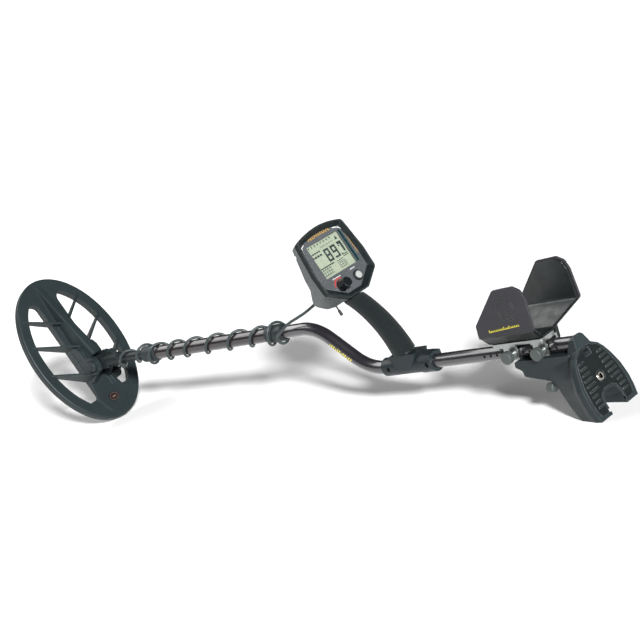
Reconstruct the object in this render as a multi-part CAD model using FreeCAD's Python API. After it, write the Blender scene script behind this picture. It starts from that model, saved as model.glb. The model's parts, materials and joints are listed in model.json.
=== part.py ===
import FreeCAD, Part
import math
import os

os.makedirs("parts", exist_ok=True)

V = FreeCAD.Vector
Rotation = FreeCAD.Rotation
Placement = FreeCAD.Placement
Y_AXIS = V(0, 1, 0)

# Layout, in millimetres. Stations run rearward (+X) from the centre of the search coil.
ORIGIN_X = 528.25
FLOOR_Z = -2.25
POLE_PITCH = 3.6
COIL_PITCH = 66.4
FACE_TILT = 21.2
STAND_LEAN = 16.5
COIL_CENTRE = V(0, 0, 128)
PIVOT = V(53.5, 0, 102.5)
FACE_ORIGIN = V(713, 0, 223)
STAND_ORIGIN = V(1117, 0, 4)
REAR_DROP = 75.8
RUN_FIT = 0.06

# Search coil
COIL_A, COIL_B = 139.7, 92.6
COIL_TOP, COIL_SPLIT, COIL_BOTTOM = 7.0, -4.5, -7.0
SLOT_A, SLOT_B = 118.5, 73.5
SLOT_X = (-104.0, 94.0)
WEB_HALF = 21.0
PIVOT_C = V(44.8, 0, 38.8)
EAR_R = 15.0
EAR_IN, EAR_OUT = 12.0, 20.0
SPINE_DRAFT = 0.12
FINS = [((-86.0, 65.0), (-50.0, 9.0)), ((-38.0, 77.0), (2.0, 10.0)), ((19.0, 77.5), (60.0, 18.0))]
GLAND_C = V(69, 30, 0)

# Poles
STEM_R, STEM_BORE = 8.0, 7.0
ROD_R, ROD_BORE = 10.0, 9.0
MID_R, MID_BORE = 11.0, 10.0 + RUN_FIT
BEND_R = 75.0
YOKE_X0, YOKE_X1, YOKE_R = 675.0, 775.0, 13.5
YOKE_BOLTS = (688.0, 766.0)
REAR_X0, REAR_X1 = 723.0, 1032.0
CABLE_R = 2.2

POLE = Placement(PIVOT, Rotation(Y_AXIS, -POLE_PITCH))
COIL = Placement(COIL_CENTRE, Rotation(Y_AXIS, COIL_PITCH))


def facing_rear(origin, tilt):
    """Frame whose X is +Y of the row, Y runs up the face and Z is the face's normal, leaning back by tilt."""
    a = math.radians(tilt)
    up = V(-math.sin(a), 0, math.cos(a))
    normal = V(math.cos(a), 0, math.sin(a))
    return Placement(origin, Rotation(Y_AXIS, up, normal, "ZXY"))


POD = facing_rear(FACE_ORIGIN, FACE_TILT)
STAND = facing_rear(STAND_ORIGIN, STAND_LEAN)


def placed(shape, frame):
    copy = shape.copy()
    copy.Placement = frame.multiply(copy.Placement)
    return copy


def save(name, shape, frame=None):
    if frame is not None:
        shape = placed(shape, frame)
    moved = shape.translated(V(-ORIGIN_X, 0, -FLOOR_Z))
    moved.exportStep("parts/" + name + ".step")


# ---------------------------------------------------------------- helpers
def box(x0, x1, y0, y1, z0, z1):
    return Part.makeBox(x1 - x0, y1 - y0, z1 - z0, V(x0, y0, z0))


def rod_x(x0, x1, r, y=0.0, z=0.0):
    return Part.makeCylinder(r, x1 - x0, V(x0, y, z), V(1, 0, 0))


def rod_y(y0, y1, r, x=0.0, z=0.0):
    return Part.makeCylinder(r, y1 - y0, V(x, y0, z), V(0, 1, 0))


def rod_z(z0, z1, r, x=0.0, y=0.0):
    return Part.makeCylinder(r, z1 - z0, V(x, y, z0), V(0, 0, 1))


def tube_x(x0, x1, r_out, r_in, z=0.0):
    return rod_x(x0, x1, r_out, 0, z).cut(rod_x(x0 - 1, x1 + 1, r_in, 0, z))


def closed_wire(points):
    return Part.makePolygon(points + [points[0]])


def prism_z(points, z0, z1):
    face = Part.Face(closed_wire([V(x, y, z0) for x, y in points]))
    return face.extrude(V(0, 0, z1 - z0))


def prism_y(points, y0, y1):
    face = Part.Face(closed_wire([V(x, y0, z) for x, z in points]))
    return face.extrude(V(0, y1 - y0, 0))


def turned_x(profile, z=0.0):
    """Solid of revolution about the X axis at height z; profile is (x, r) points."""
    face = Part.Face(closed_wire([V(x, 0, z + r) for x, r in profile]))
    return face.revolve(V(0, 0, z), V(1, 0, 0), 360)


def turned_y(profile, x=0.0, z=0.0):
    face = Part.Face(closed_wire([V(x + r, y, z) for y, r in profile]))
    return face.revolve(V(x, 0, z), V(0, 1, 0), 360)


def turned_z(profile, x=0.0, y=0.0):
    face = Part.Face(closed_wire([V(x + r, y, z) for z, r in profile]))
    return face.revolve(V(x, y, 0), V(0, 0, 1), 360)


def ellipse_prism(a, b, z0, z1):
    edge = Part.Ellipse(V(0, 0, z0), a, b).toShape()
    return Part.Face(Part.Wire([edge])).extrude(V(0, 0, z1 - z0))


def fuse_all(shapes):
    return shapes[0].multiFuse(shapes[1:]).removeSplitter()


def cut_all(shape, tools):
    return shape.cut(Part.makeCompound(tools))


def edges_along(shape, direction, inside):
    """Straight edges parallel to direction whose middle passes the test."""
    found = []
    for edge in shape.Edges:
        if not isinstance(edge.Curve, Part.Line):
            continue
        run = edge.Vertexes[-1].Point.sub(edge.Vertexes[0].Point)
        if run.Length < 1e-6:
            continue
        if run.cross(direction).Length > 1e-4 * run.Length:
            continue
        if inside(edge.CenterOfMass):
            found.append(edge)
    return found


def edges_at(shape, inside):
    return [edge for edge in shape.Edges if all(inside(v.Point) for v in edge.Vertexes)]


def pipe(wire, r):
    edge = wire.OrderedEdges[0]
    start = edge.valueAt(edge.FirstParameter)
    tangent = edge.tangentAt(edge.FirstParameter)
    circle = Part.Wire([Part.Circle(start, tangent, r).toShape()])
    return wire.makePipeShell([circle], True, False)


def bent_wire(points, radius):
    """Straight runs joined by tangent arcs of one radius."""
    edges = []
    last = points[0]
    for before, corner, after in zip(points[:-2], points[1:-1], points[2:]):
        d0 = corner.sub(before).normalize()
        d1 = after.sub(corner).normalize()
        half = d0.getAngle(d1) / 2
        reach = radius * math.tan(half)
        a = corner.sub(V(d0).multiply(reach))
        b = corner.add(V(d1).multiply(reach))
        inward = d1.sub(d0).normalize()
        middle = corner.add(V(inward).multiply(radius / math.cos(half) - radius))
        edges.append(Part.LineSegment(last, a).toShape())
        edges.append(Part.Arc(a, middle, b).toShape())
        last = b
    edges.append(Part.LineSegment(last, points[-1]).toShape())
    return Part.Wire(edges)


# ---------------------------------------------------------------- search coil (COIL frame)
def slot_tools():
    tools = []
    for side in (-1, 1):
        y0, y1 = sorted((side * WEB_HALF, side * 90))
        raw = ellipse_prism(SLOT_A, SLOT_B, -30, 30)
        raw = raw.common(box(SLOT_X[0], SLOT_X[1], y0, y1, -20, 20))
        raw = raw.makeFillet(12.5, edges_along(raw, V(0, 0, 1), lambda p: p.x < -90))
        raw = raw.makeFillet(8.0, edges_along(raw, V(0, 0, 1), lambda p: p.x > 80))
        tools.append(raw)
    return tools


def spine_section(x, half_base, base, top, ease):
    """Section of the spine at station x: sides leaning in by SPINE_DRAFT and eased upper corners."""
    half_top = half_base - (top - base) * SPINE_DRAFT
    right = [(half_base, base), (half_top + SPINE_DRAFT * ease, top - ease),
             (half_top - 0.25 * ease, top - 0.3 * ease), (half_top - ease, top)]
    return [V(x, y, z) for y, z in right] + [V(x, -y, z) for y, z in reversed(right)]


def spine_top(x):
    return 8.5 + (x + 128.0) * (46.0 - 8.5) / 156.0


def flat_sided(first, last):
    """Solid between two outlines of the same count whose matching edges are parallel."""
    faces = [Part.Face(closed_wire(first)), Part.Face(closed_wire(last))]
    pairs = list(zip(first, last))
    for (a, b), (c, d) in zip(pairs, pairs[1:] + pairs[:1]):
        faces.append(Part.Face(closed_wire([a, c, d, b])))
    return Part.makeSolid(Part.makeShell(faces))


def spine():
    return flat_sided(spine_section(-128, 5.5, 5.0, 8.5, 1.2), spine_section(28, 14.0, 5.0, 46.0, 4.0))


def spine_hollow():
    return flat_sided(spine_section(-112, 3.4, -4.5, 7.4, 0.6), spine_section(25, 11.0, -4.5, 42.0, 2.0))


def fin(outer, inner, side):
    run = V(inner[0] - outer[0], inner[1] - outer[1], 0)
    length = run.Length
    top = spine_top(inner[0]) * 0.72
    plate = prism_y([(0, -1.0), (length, -1.0), (length, top), (0, 7.3)], -1.5, 1.5)
    angle = math.degrees(math.atan2(run.y, run.x))
    plate.rotate(V(0, 0, 0), V(0, 0, 1), angle)
    plate.translate(V(outer[0], outer[1], 0))
    if side > 0:
        return plate
    return plate.mirror(V(0, 0, 0), V(0, 1, 0))


def ear_block():
    x, z = PIVOT_C.x, PIVOT_C.z
    cheek = [(-8, 6), (70, 6), (x + EAR_R, z - 3), (x + EAR_R, z), (x - EAR_R, z), (2, 25)]
    block = prism_y(cheek, -EAR_OUT, EAR_OUT)
    block = block.fuse(rod_y(-EAR_OUT, EAR_OUT, EAR_R, x, z))
    return block.removeSplitter()


def clevis_gap():
    x, z = PIVOT_C.x, PIVOT_C.z
    gap = box(x - 16.0, x + 40, -EAR_IN, EAR_IN, COIL_TOP + 2, z + 40)
    relief = [(-9, 30), (x - 15.9, 30), (x - 15.9, 60), (-9, 60)]
    left = prism_y(relief, -EAR_OUT - 1, -14.5)
    right = prism_y(relief, 14.5, EAR_OUT + 1)
    return [gap, left, right]


def heel_pad():
    points = [(66, -24), (96, -31), (126, -19), (126, 19), (96, 31), (66, 24)]
    pad = prism_z(points, 6.0, 9.6)
    pad = pad.makeFillet(5.0, edges_along(pad, V(0, 0, 1), lambda p: p.x > 90))
    rim = [e for e in pad.Edges if e.BoundBox.ZMin > 9.5]
    return pad.makeChamfer(1.2, rim)


def gland_boss():
    boss = rod_z(5, 14, 10.0, GLAND_C.x, GLAND_C.y)
    ridge = rod_z(5, 10.5, 19.0, GLAND_C.x + 6, GLAND_C.y + 5)
    ridge = ridge.cut(rod_z(4, 12, 16.5, GLAND_C.x + 6, GLAND_C.y + 5))
    keep = ellipse_prism(COIL_A - 9, COIL_B - 9, 4, 12).common(box(64, 100, 18, 80, 4, 12))
    return [boss, ridge.common(keep)]


def winding_band(z0, z1):
    return ellipse_prism(135.2, 88.2, z0, z1).cut(ellipse_prism(123.4, 78.0, z0 - 1, z1 + 1))


def winding(side, z0, z1):
    band = winding_band(z0, z1)
    y0, y1 = sorted((-side * 8.0, side * 100.0))
    half = band.common(box(-150, 150, y0, y1, z0 - 1, z1 + 1))
    b0, b1 = sorted((-side * 8.0, -side * 2.0))
    bar = box(-128, 128, b0, b1, z0, z1).common(ellipse_prism(135.2, 88.2, z0, z1))
    return fuse_all([half, bar])


def coil_shell():
    body = ellipse_prism(COIL_A, COIL_B, COIL_SPLIT, COIL_TOP)
    body = body.makeFillet(3.5, [e for e in body.Edges if e.BoundBox.ZMin > COIL_TOP - 0.1])
    body = cut_all(body, slot_tools())
    fins = [fin(outer, inner, side) for outer, inner in FINS for side in (-1, 1)]
    body = fuse_all([body, spine(), ear_block(), heel_pad()] + gland_boss() + fins)
    channel = ellipse_prism(136.8, 89.7, COIL_SPLIT - 1, 4.4).cut(ellipse_prism(121.6, 76.4, -8, 6))
    spine_channel = box(-123, 123, -9.5, 9.5, COIL_SPLIT - 1, 4.4)
    x, z = PIVOT_C.x, PIVOT_C.z
    tools = [channel, spine_channel, spine_hollow(), rod_y(-30, 30, 4.05, x, z)]
    tools += clevis_gap()
    tools += [rod_y(EAR_OUT + 0.02, 38, 12.8, x, z), rod_y(-38, -EAR_OUT - 0.02, 11.2, x, z)]
    tools.append(rod_z(5.6, 20, 5.1, GLAND_C.x, GLAND_C.y))
    tools.append(emblem_prism(9.0, 11.0, 0.1))
    return cut_all(body, tools)


def emblem_prism(z0, z1, gap):
    edge = Part.Ellipse(V(0, 0, z0), 10.5 + gap, 7.5 + gap).toShape()
    oval = Part.Face(Part.Wire([edge])).extrude(V(0, 0, z1 - z0))
    oval.rotate(V(0, 0, 0), V(0, 0, 1), 90)
    oval.translate(V(104, 0, 0))
    return oval


def coil_cover():
    cover = ellipse_prism(COIL_A, COIL_B, COIL_BOTTOM, COIL_SPLIT)
    cover = cover.makeFillet(1.8, [e for e in cover.Edges if e.BoundBox.ZMax < COIL_BOTTOM + 0.1])
    return cut_all(cover, slot_tools())


def coil_gland():
    profile = [(5.8, 2.6), (5.8, 5.0), (14.1, 5.0), (14.1, 7.6), (18.0, 7.6), (19.0, 6.6), (19.0, 5.4),
               (27.0, 3.6),
               (27.0, 2.6)]
    return turned_z(profile, GLAND_C.x, GLAND_C.y)


def pivot_bolt():
    x, z = PIVOT_C.x, PIVOT_C.z
    bolt = turned_y([(-25.0, 0), (-25.0, 8.5), (-23.5, 10.0), (-20.0, 10.0), (-20.0, 4.0), (29.0, 4.0),
                     (29.0, 0)], x, z)
    return bolt.cut(box(x - 7, x + 7, -26, -23.4, z - 0.9, z + 0.9))


def pivot_nut():
    x, z = PIVOT_C.x, PIVOT_C.z
    nut = turned_y([(20.3, 4.06), (20.3, 10.5), (21.5, 11.5), (30.0, 11.5), (31.0, 10.5), (31.0, 4.06)], x, z)
    tools = []
    for i in range(12):
        a = math.radians(30 * i)
        tools.append(rod_y(21.4, 32, 1.3, x + 12.1 * math.cos(a), z + 12.1 * math.sin(a)))
    return cut_all(nut, tools)


def pivot_washers():
    x, z = PIVOT_C.x, PIVOT_C.z
    rings = []
    for y0 in (-11.95, 10.75):
        ring = rod_y(y0, y0 + 1.2, 11.0, x, z).cut(rod_y(y0 - 1, y0 + 3, 4.1, x, z))
        rings.append(ring)
    return Part.makeCompound(rings)


# ---------------------------------------------------------------- poles (POLE frame)
def stem_tip():
    tongue = box(0, 30, -10.7, 10.7, -10.5, 10.5).fuse(rod_y(-10.7, 10.7, 13.0))
    tongue = tongue.common(box(-14, 30, -10.7, 10.7, -13, 13))
    barrel = turned_x([(18, 0), (18, 8.0), (26, 11.6), (44, 12.2), (58, 11.6), (62, 9.6), (62, 0)])
    body = fuse_all([tongue, barrel])
    body = body.cut(rod_y(-20, 20, 4.06))
    return body.cut(rod_x(46, 70, STEM_R + 0.02))


def lower_stem():
    return tube_x(46.2, 427.4, STEM_R, STEM_BORE)


def stem_plug():
    return turned_x([(415, 0), (415, 6.95), (427.6, 6.95), (427.6, 8.7), (430.5, 8.7), (432, 7.4), (432, 0)])


def ribbed_ring(body, x0, x1, r, count, depth):
    tools = []
    for i in range(count):
        a = 2 * math.pi * i / count
        y = r * math.cos(a)
        z = r * math.sin(a)
        tools.append(rod_x(x0, x1, depth, y, z))
    return cut_all(body, tools)


def lower_collet():
    sleeve = [(129, STEM_R + RUN_FIT), (129, 11.2), (146, 12.0), (161.5, 12.0), (161.5, 13.4), (166, 13.4),
              (169, 11.8),
              (169, 11.02), (145, 11.02), (145, STEM_R + RUN_FIT)]
    return turned_x(sleeve)


def lower_nut():
    profile = [(125.0, 8.6), (125.0, 9.6), (133.0, 13.2), (153.0, 13.2), (153.8, 14.4), (159.5, 14.4),
               (160.8, 13.2),
               (160.8, 12.06), (145.9, 12.06), (128.6, 11.3), (128.6, 8.6)]
    return ribbed_ring(turned_x(profile), 134, 152.5, 13.6, 24, 0.8)


def mid_tube():
    return tube_x(145.2, 475.0, MID_R, MID_BORE)


def upper_collet():
    sleeve = [(459, 11.02), (459, 12.0), (476, 12.0), (488.5, 11.0), (488.5, ROD_R + RUN_FIT),
              (475.2, ROD_R + RUN_FIT),
              (475.2, 11.02)]
    return turned_x(sleeve)


def upper_nut():
    profile = [(454, 11.1), (454, 12.4), (455, 13.2), (471, 13.2), (472, 14.0), (476, 14.0), (477, 13.2),
               (490, 12.8),
               (493, 11.4), (493, 10.5), (489, 10.5), (489, 11.3), (475, 12.06), (458.5, 12.06), (458.5, 11.1)]
    return ribbed_ring(turned_x(profile), 456, 470.5, 13.6, 24, 0.8)


def s_rod():
    points = [V(209, 0, 0), V(560.6, 0, 0), V(640.0, 0, -REAR_DROP), V(720, 0, -REAR_DROP)]
    wire = bent_wire(points, BEND_R)
    rod = pipe(wire, ROD_R).cut(pipe(wire, ROD_BORE))
    return rod.cut(rod_y(-20, 20, 2.1, YOKE_BOLTS[0], -REAR_DROP))


def rod_yoke():
    zc = -REAR_DROP
    x0, x1 = YOKE_X0, YOKE_X1
    r = YOKE_R
    sleeve = turned_x([(x0, 0), (x0, r), (x0 + 20, r), (748, r), (749, r + 1.2), (x1 - 1, r + 1.2),
                       (x1, r + 0.4),
                       (x1, 0)], zc)
    lip = prism_y([(746, zc), (775, zc), (775, zc + 13), (757, zc + 17.5), (752, zc + 14)], -13, 13)
    lip = lip.common(rod_x(740, 780, 17.5, 0, zc))
    saddle = prism_y([(704, zc), (736, zc), (748, zc + 12), (751, zc + 19), (699, zc + 19)], -14.9, 14.9)
    saddle = saddle.makeFillet(3.0, edges_at(saddle, lambda p: p.z < zc + 14 and p.x < 710))
    body = fuse_all([sleeve, lip, saddle])
    tools = [rod_x(x0 - 1, x1 + 1, ROD_R + 0.02, 0, zc)]
    wire = grip_arc(2.6, 30)
    tools.append(placed(pipe(wire, 8.05), POLE.inverse()))
    for x in YOKE_BOLTS:
        tools.append(rod_y(-30, 30, 2.1, x, zc))
        tools.append(rod_y(-30, -12.4, 3.9, x, zc))
        tools.append(rod_y(12.4, 30, 3.9, x, zc))
    return cut_all(body, tools)


def yoke_bolts():
    bolts = []
    for x in YOKE_BOLTS:
        bolt = turned_y([(-13.4, 0), (-13.4, 2.6), (-12.4, 3.6), (-12.4, 2.0), (12.3, 2.0), (12.3, 0)], x,
                        -REAR_DROP)
        bolts.append(bolt.cut(rod_y(-15, -12.9, 1.3, x, -REAR_DROP)))
    return Part.makeCompound(bolts)


def yoke_nuts():
    nuts = []
    for x in YOKE_BOLTS:
        corners = [(x + 3.6 * math.cos(math.radians(a)), -REAR_DROP + 3.6 * math.sin(math.radians(a)))
                   for a in range(0, 360, 60)]
        nuts.append(prism_y(corners, 12.4, 14.4).cut(rod_y(12, 12.4, 2.02, x, -REAR_DROP)))
    return Part.makeCompound(nuts)


def rear_tube():
    tube = tube_x(REAR_X0, REAR_X1, ROD_R, ROD_BORE, -REAR_DROP)
    holes = [rod_y(-20, 20, 2.1, YOKE_BOLTS[1], -REAR_DROP)]
    for i in range(12):
        holes.append(rod_y(-20, -2, 1.9, 873.0 + 11.6 * i, -REAR_DROP))
    return cut_all(tube, holes)


# ---------------------------------------------------------------- handle (row stations)
GRIP_LOW, GRIP_MID, GRIP_TOP = V(776.0, 0, 87.5), V(758.7, 0, 130.0), V(716.0, 0, 178.0)
GRIP_R = 16.0
FOAM_START = 3.0  # how far up the centre line from GRIP_LOW the foam begins


def grip_arc(extend_low, extend_high):
    """The grip's centre line, run on past its low and high ends."""
    circle = Part.Arc(GRIP_LOW, GRIP_MID, GRIP_TOP).toShape()
    radius = circle.Curve.Radius
    first = circle.FirstParameter - extend_low / radius
    last = circle.LastParameter + extend_high / radius
    low, middle, high = [circle.Curve.value(t) for t in (first, (first + last) / 2, last)]
    return Part.Wire([Part.Arc(low, middle, high).toShape()])


def handle_core():
    """Core of the grip with the black collar that fills the wedge between the foam and the yoke."""
    length = Part.Arc(GRIP_LOW, GRIP_MID, GRIP_TOP).toShape().Length
    collar = pipe(grip_arc(14, FOAM_START - length), 14.6)
    below = placed(box(600, 900, -60, 60, -REAR_DROP - 60, -REAR_DROP + 14.0), POLE)
    collar = collar.cut(below).cut(placed(rod_yoke(), POLE).fuse(placed(rod_x(700, 800, 15, 0, -REAR_DROP),
                                                                        POLE)))
    collar = max(collar.Solids, key=lambda solid: solid.Volume)
    body = collar.fuse(pipe(grip_arc(2.5, 12), 8.0)).removeSplitter()
    return body.cut(pipe(grip_arc(14, 16), 4.5))


def handle_grip():
    foam = pipe(grip_arc(-FOAM_START - 0.1, 10), GRIP_R).cut(pipe(grip_arc(14, 14), 8.3))
    rim = pod_prism(SPLIT_Z - 1, RIM_TOP_Z + 2, 53.3, -40.8, 20.3, 63.3, 9, 7.0)
    foam = foam.cut(placed(rod_yoke(), POLE)).cut(placed(pod_block(-0.3).fuse(rim), POD))
    return max(foam.Solids, key=lambda solid: solid.Volume)


# ---------------------------------------------------------------- control pod (POD frame)
RIM_TOP_Z, SPLIT_Z, BACK_Z = 4.0, -5.0, -60.0
POD_OPEN = 0.05  # how far the hollow runs past the split face
POD_BOSSES = [(-41.5, 50), (41.5, 50), (-29, -11), (29, -11)]
TRIGGER = V(-4, -36.0, -53.5)


def pod_wire(z, side, bottom, corner, top, arch):
    """Outline symmetric about X=0: flat bottom, cut corners, near-straight sides and a bowed top."""
    lower = [V(-corner, bottom, z), V(corner, bottom, z), V(side, bottom + 21, z), V(side + 1, 12, z),
             V(side - 5, top, z)]
    edges = [Part.LineSegment(a, b).toShape() for a, b in zip(lower[:-1], lower[1:])]
    left = [V(-p.x, p.y, z) for p in lower[1:]]
    edges.append(Part.Arc(lower[-1], V(0, top + arch, z), left[-1]).toShape())
    path = [left[3], left[2], left[1], lower[0]]
    edges += [Part.LineSegment(a, b).toShape() for a, b in zip(path[:-1], path[1:])]
    return Part.Wire(edges)


def pod_prism(z0, z1, side, bottom, corner, top, arch, radius):
    wire = pod_wire(z0, side, bottom, corner, top, arch)
    solid = Part.Face(wire).extrude(V(0, 0, z1 - z0))
    return solid.makeFillet(radius, edges_along(solid, V(0, 0, 1), lambda p: True))


def pod_back_profile(inset):
    """Side section (height up the face, depth) that the rear of the pod follows, shrunk by inset."""
    i = inset
    return [(74 - i, 10), (74 - i, -16 + i), (62, -19 + i), (2, -36 + i), (-9, -50 + i), (-15, -57 + i),
            (-23, -60 + i),
            (-34 + i, -54 + i), (-38 + i, -38), (-38.5 + i, -20), (-40.5 + i, SPLIT_Z), (-40.5 + i, 10)]


def pod_side_tool(inset):
    points = [V(-80, y, z) for y, z in pod_back_profile(inset)]
    return Part.Face(closed_wire(points)).extrude(V(160, 0, 0))


def pod_block(inset):
    i = inset
    front = pod_wire(SPLIT_Z, 53 - i, -40.5 + i, 20 - i, 63 - i, 9)
    back = pod_wire(BACK_Z, 33 - i, -40.5 + i, 14 - i, 55 - i, 8)
    block = Part.makeLoft([front, back], True, True)
    return block.common(pod_side_tool(inset))


def pod_rear_shell():
    outer = pod_block(0)
    outer = outer.makeFillet(2.0, edges_at(outer, lambda p: p.z < SPLIT_Z - 1 and abs(p.x) > 20 and p.y < 60))
    shell = outer.cut(pod_block(2.6).translated(V(0, 0, POD_OPEN)))
    bosses = [rod_z(-60, SPLIT_Z - 0.05, 3.6, x, y).common(outer) for x, y in POD_BOSSES]
    shell = fuse_all([shell] + bosses)
    tools = [rod_z(-70, -50, 6.56, 0, -16)]
    tools.append(placed(pipe(grip_arc(14, 16), 8.05), POD.inverse()))
    tools.append(rod_y(-42, -22.5, 3.3, TRIGGER.x, TRIGGER.z))
    for x, y in POD_BOSSES:
        tools.append(rod_z(-16, 0, 1.56, x, y))
        tools.append(rod_z(-70, -14, 3.0, x, y))
    for i in range(5):
        tools.append(box(-13.5 + 6 * i, -10.5 + 6 * i, 4, 22, -50, -26))
    return cut_all(shell, tools)


def pod_bezel():
    outer = pod_prism(SPLIT_Z, RIM_TOP_Z, 53, -40.5, 20, 63, 9, 7.0)
    outer = outer.makeChamfer(1.0, [e for e in outer.Edges if e.BoundBox.ZMin > RIM_TOP_Z - 0.1])
    inner = pod_prism(SPLIT_Z - 1, RIM_TOP_Z + 1, 45.5, -33, 14, 58, 5, 6.0)
    funnel = Part.makeLoft([pod_wire(-2.4, 45.5, -33, 14, 58, 5),
                            pod_wire(RIM_TOP_Z + 0.4, 51.2, -38.7, 18.7, 61.7, 8.6)],
                           True, True)
    return outer.cut(inner).cut(funnel)


def face_plate():
    plate = pod_prism(SPLIT_Z, -2.6, 45.2, -32.7, 13.8, 57.7, 5, 5.8)
    tools = [box(-33, 33, -0.5, 52.5, -6, 0), rod_z(-9, 0, 3.6, -16, -19), rod_z(-9, 0, 6.2, 19, -18)]
    return cut_all(plate, tools)


def lcd_window():
    return box(-34.5, 34.5, -2.0, 54.0, -6.6, -5.1)


def lcd_module():
    return box(-36, 36, -4, 56, -12.0, -6.8)


def circuit_board():
    board = box(-37.5, 37.5, -26, 56, -14.2, -12.6).common(pod_block(3.2))
    return cut_all(board, [rod_z(-15, -12, 4.0, x, y) for x, y in POD_BOSSES[2:]])


def potentiometer():
    body = rod_z(-12.4, -5.4, 8.0, -16, -19)
    return body.fuse(rod_z(-6, 7.0, 3.0, -16, -19)).removeSplitter()


def pod_speaker():
    profile = [(-41.0, 0), (-41.0, 7), (-36.5, 9), (-32.0, 14), (-30.0, 14), (-30.0, 0)]
    speaker = turned_z(profile, 0, 0)
    return speaker.translated(V(0, -8, 8.0))


def settings_knob():
    profile = [(-2.3, 3.05), (-2.3, 9.5), (2.0, 8.6), (12.0, 7.6), (13.0, 6.6), (13.0, 0), (7.3, 0),
               (7.3, 3.05)]
    knob = turned_z(profile, -16, -19)
    pointer = box(-16.7, -15.3, -13.5, -10.0, 6, 15)
    return knob.cut(pointer)


def menu_button():
    profile = [(-9.5, 0), (-9.5, 5.6), (1.2, 5.6), (2.2, 4.4), (2.7, 0)]
    return turned_z(profile, 19, -18)


def button_ring():
    return turned_z([(-2.6, 5.7), (-2.6, 8.0), (-0.6, 8.0), (0.2, 7.2), (0.2, 5.7)], 19, -18)


def menu_switch():
    return box(14, 24, -23, -13, -12.4, -10.9)


def trigger_lever():
    lever = turned_y([(-52.5, 0), (-52.5, 1.8), (-51.2, 2.3), (-44, 2.3), (-43, 1.1), (-36, 1.1), (-36, 0)],
                     TRIGGER.x, TRIGGER.z)
    return lever.fuse(Part.makeSphere(2.0, TRIGGER)).removeSplitter()


def trigger_switch():
    return turned_y([(-37.0, 2.2), (-37.0, 3.2), (-23.5, 3.2), (-23.5, 0), (-32, 0), (-32, 2.2)], TRIGGER.x,
                    TRIGGER.z)


def pod_screws():
    screws = []
    for x, y in POD_BOSSES:
        screws.append(turned_z([(-16, 0), (-16, 2.8), (-14, 2.8), (-14, 1.5), (-5.2, 1.5), (-5.2, 0)], x, y))
    return Part.makeCompound(screws)


def coil_socket():
    body = turned_z([(-53, 0), (-53, 5.0), (-56.2, 5.0), (-56.2, 6.5), (-63.5, 6.5), (-63.5, 5.2),
                     (-57, 5.2), (-57, 0)])
    return body.translated(V(0, -16, 0))


def coil_plug():
    profile = [(-58, 0), (-58, 4.9), (-64, 4.9), (-64, 7.2), (-76, 7.2), (-78, 5.8), (-90, 3.4), (-90, 0)]
    plug = turned_z(profile).translated(V(0, -16, 0))
    return plug.cut(rod_z(-95, -80, 2.6, 0, -16))


# ---------------------------------------------------------------- armrest (ARM frame, X along the tube)
ARM = Placement(V(1000, 0, 104.5), Rotation(Y_AXIS, -POLE_PITCH))
ARM_TUBE_Z = -18.5
KNOB_X = (-19.0, 32.5)
CUFF_T = 3.0


def cuff_profile(depth_in, depth_out):
    """Cross-section band between two depths measured inward from the outer surface."""
    def line(d):
        return [(-50 + d, 92), (-53.5 + 1.05 * d, 23 + 0.55 * d), (-13 + 0.3 * d, -1.5 + d),
                (13 - 0.3 * d, -1.5 + d),
                (53.5 - 1.05 * d, 23 + 0.55 * d), (50 - d, 92)]
    outer = line(depth_in)
    inner = line(depth_out)
    return [V(-60, y, z) for y, z in outer + inner[::-1]]


def cuff_outline(inset):
    i = inset
    points = [(-49 + i, -8), (-49 + i, 0.5), (-25.5 + i, 21), (-23.5 + i, 41), (23.5 + i * 0.4, 84.4 - i),
              (58 - i * 0.5, 85.6 - i), (69.5 - i, 79), (73 - i, 66), (71 - i, 26), (42 - i, 0.5), (42 - i,
                                                                                                    -8)]
    tool = prism_y(points, -70, 70)
    bends = edges_along(tool, V(0, 1, 0), lambda p: p.z > 2)
    return tool.makeFillet(5.5, bends)


def cuff_sheet(depth_in, depth_out, inset):
    band = Part.Face(closed_wire(cuff_profile(depth_in, depth_out))).extrude(V(140, 0, 0))
    folds = edges_along(band, V(1, 0, 0), lambda p: p.z < 60)
    band = band.makeFillet(3.6, folds)
    return band.common(cuff_outline(inset))


def cuff():
    sheet = cuff_sheet(0, CUFF_T, 0)
    holes = [rod_z(-6, 6, 2.1, x, 0) for x in (-30, 26)]
    return cut_all(sheet, holes)


def cuff_liner():
    return cuff_sheet(CUFF_T + 0.05, CUFF_T + 2.0, 3.0)


def cuff_bracket():
    zc = ARM_TUBE_Z
    plate = box(-47, 41, -15, 15, -8.2, -1.6)
    plate = plate.makeFillet(3.0, edges_along(plate, V(0, 0, 1), lambda p: True))
    parts = [plate]
    for x in KNOB_X:
        for side in (-1, 1):
            y0, y1 = sorted((side * 10.6, side * 14.0))
            parts.append(box(x - 11, x + 11, y0, y1, zc - 8, -5))
        parts.append(rod_y(-17.0, -12, 6.5, x, zc))
    body = fuse_all(parts)
    tools = [rod_x(-60, 60, ROD_R + 0.08, 0, zc)]
    tools.append(box(-6, 20, -20, -9, -9, -4.6))
    tools.append(box(-6, 20, 9, 20, -9, -4.6))
    for x in KNOB_X:
        tools.append(rod_y(-20, -9, 2.5, x, zc))
    for x in (-30, 26):
        tools.append(rod_z(-9, 0, 1.6, x, 0))
    return cut_all(body, tools)


def cuff_screws():
    screws = []
    for x in (-30, 26):
        screws.append(turned_z([(-8.0, 0), (-8.0, 1.55), (0.2, 1.55), (0.2, 2.0), (1.4, 2.0), (1.4, 0)], x, 0))
    return Part.makeCompound(screws)


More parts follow.
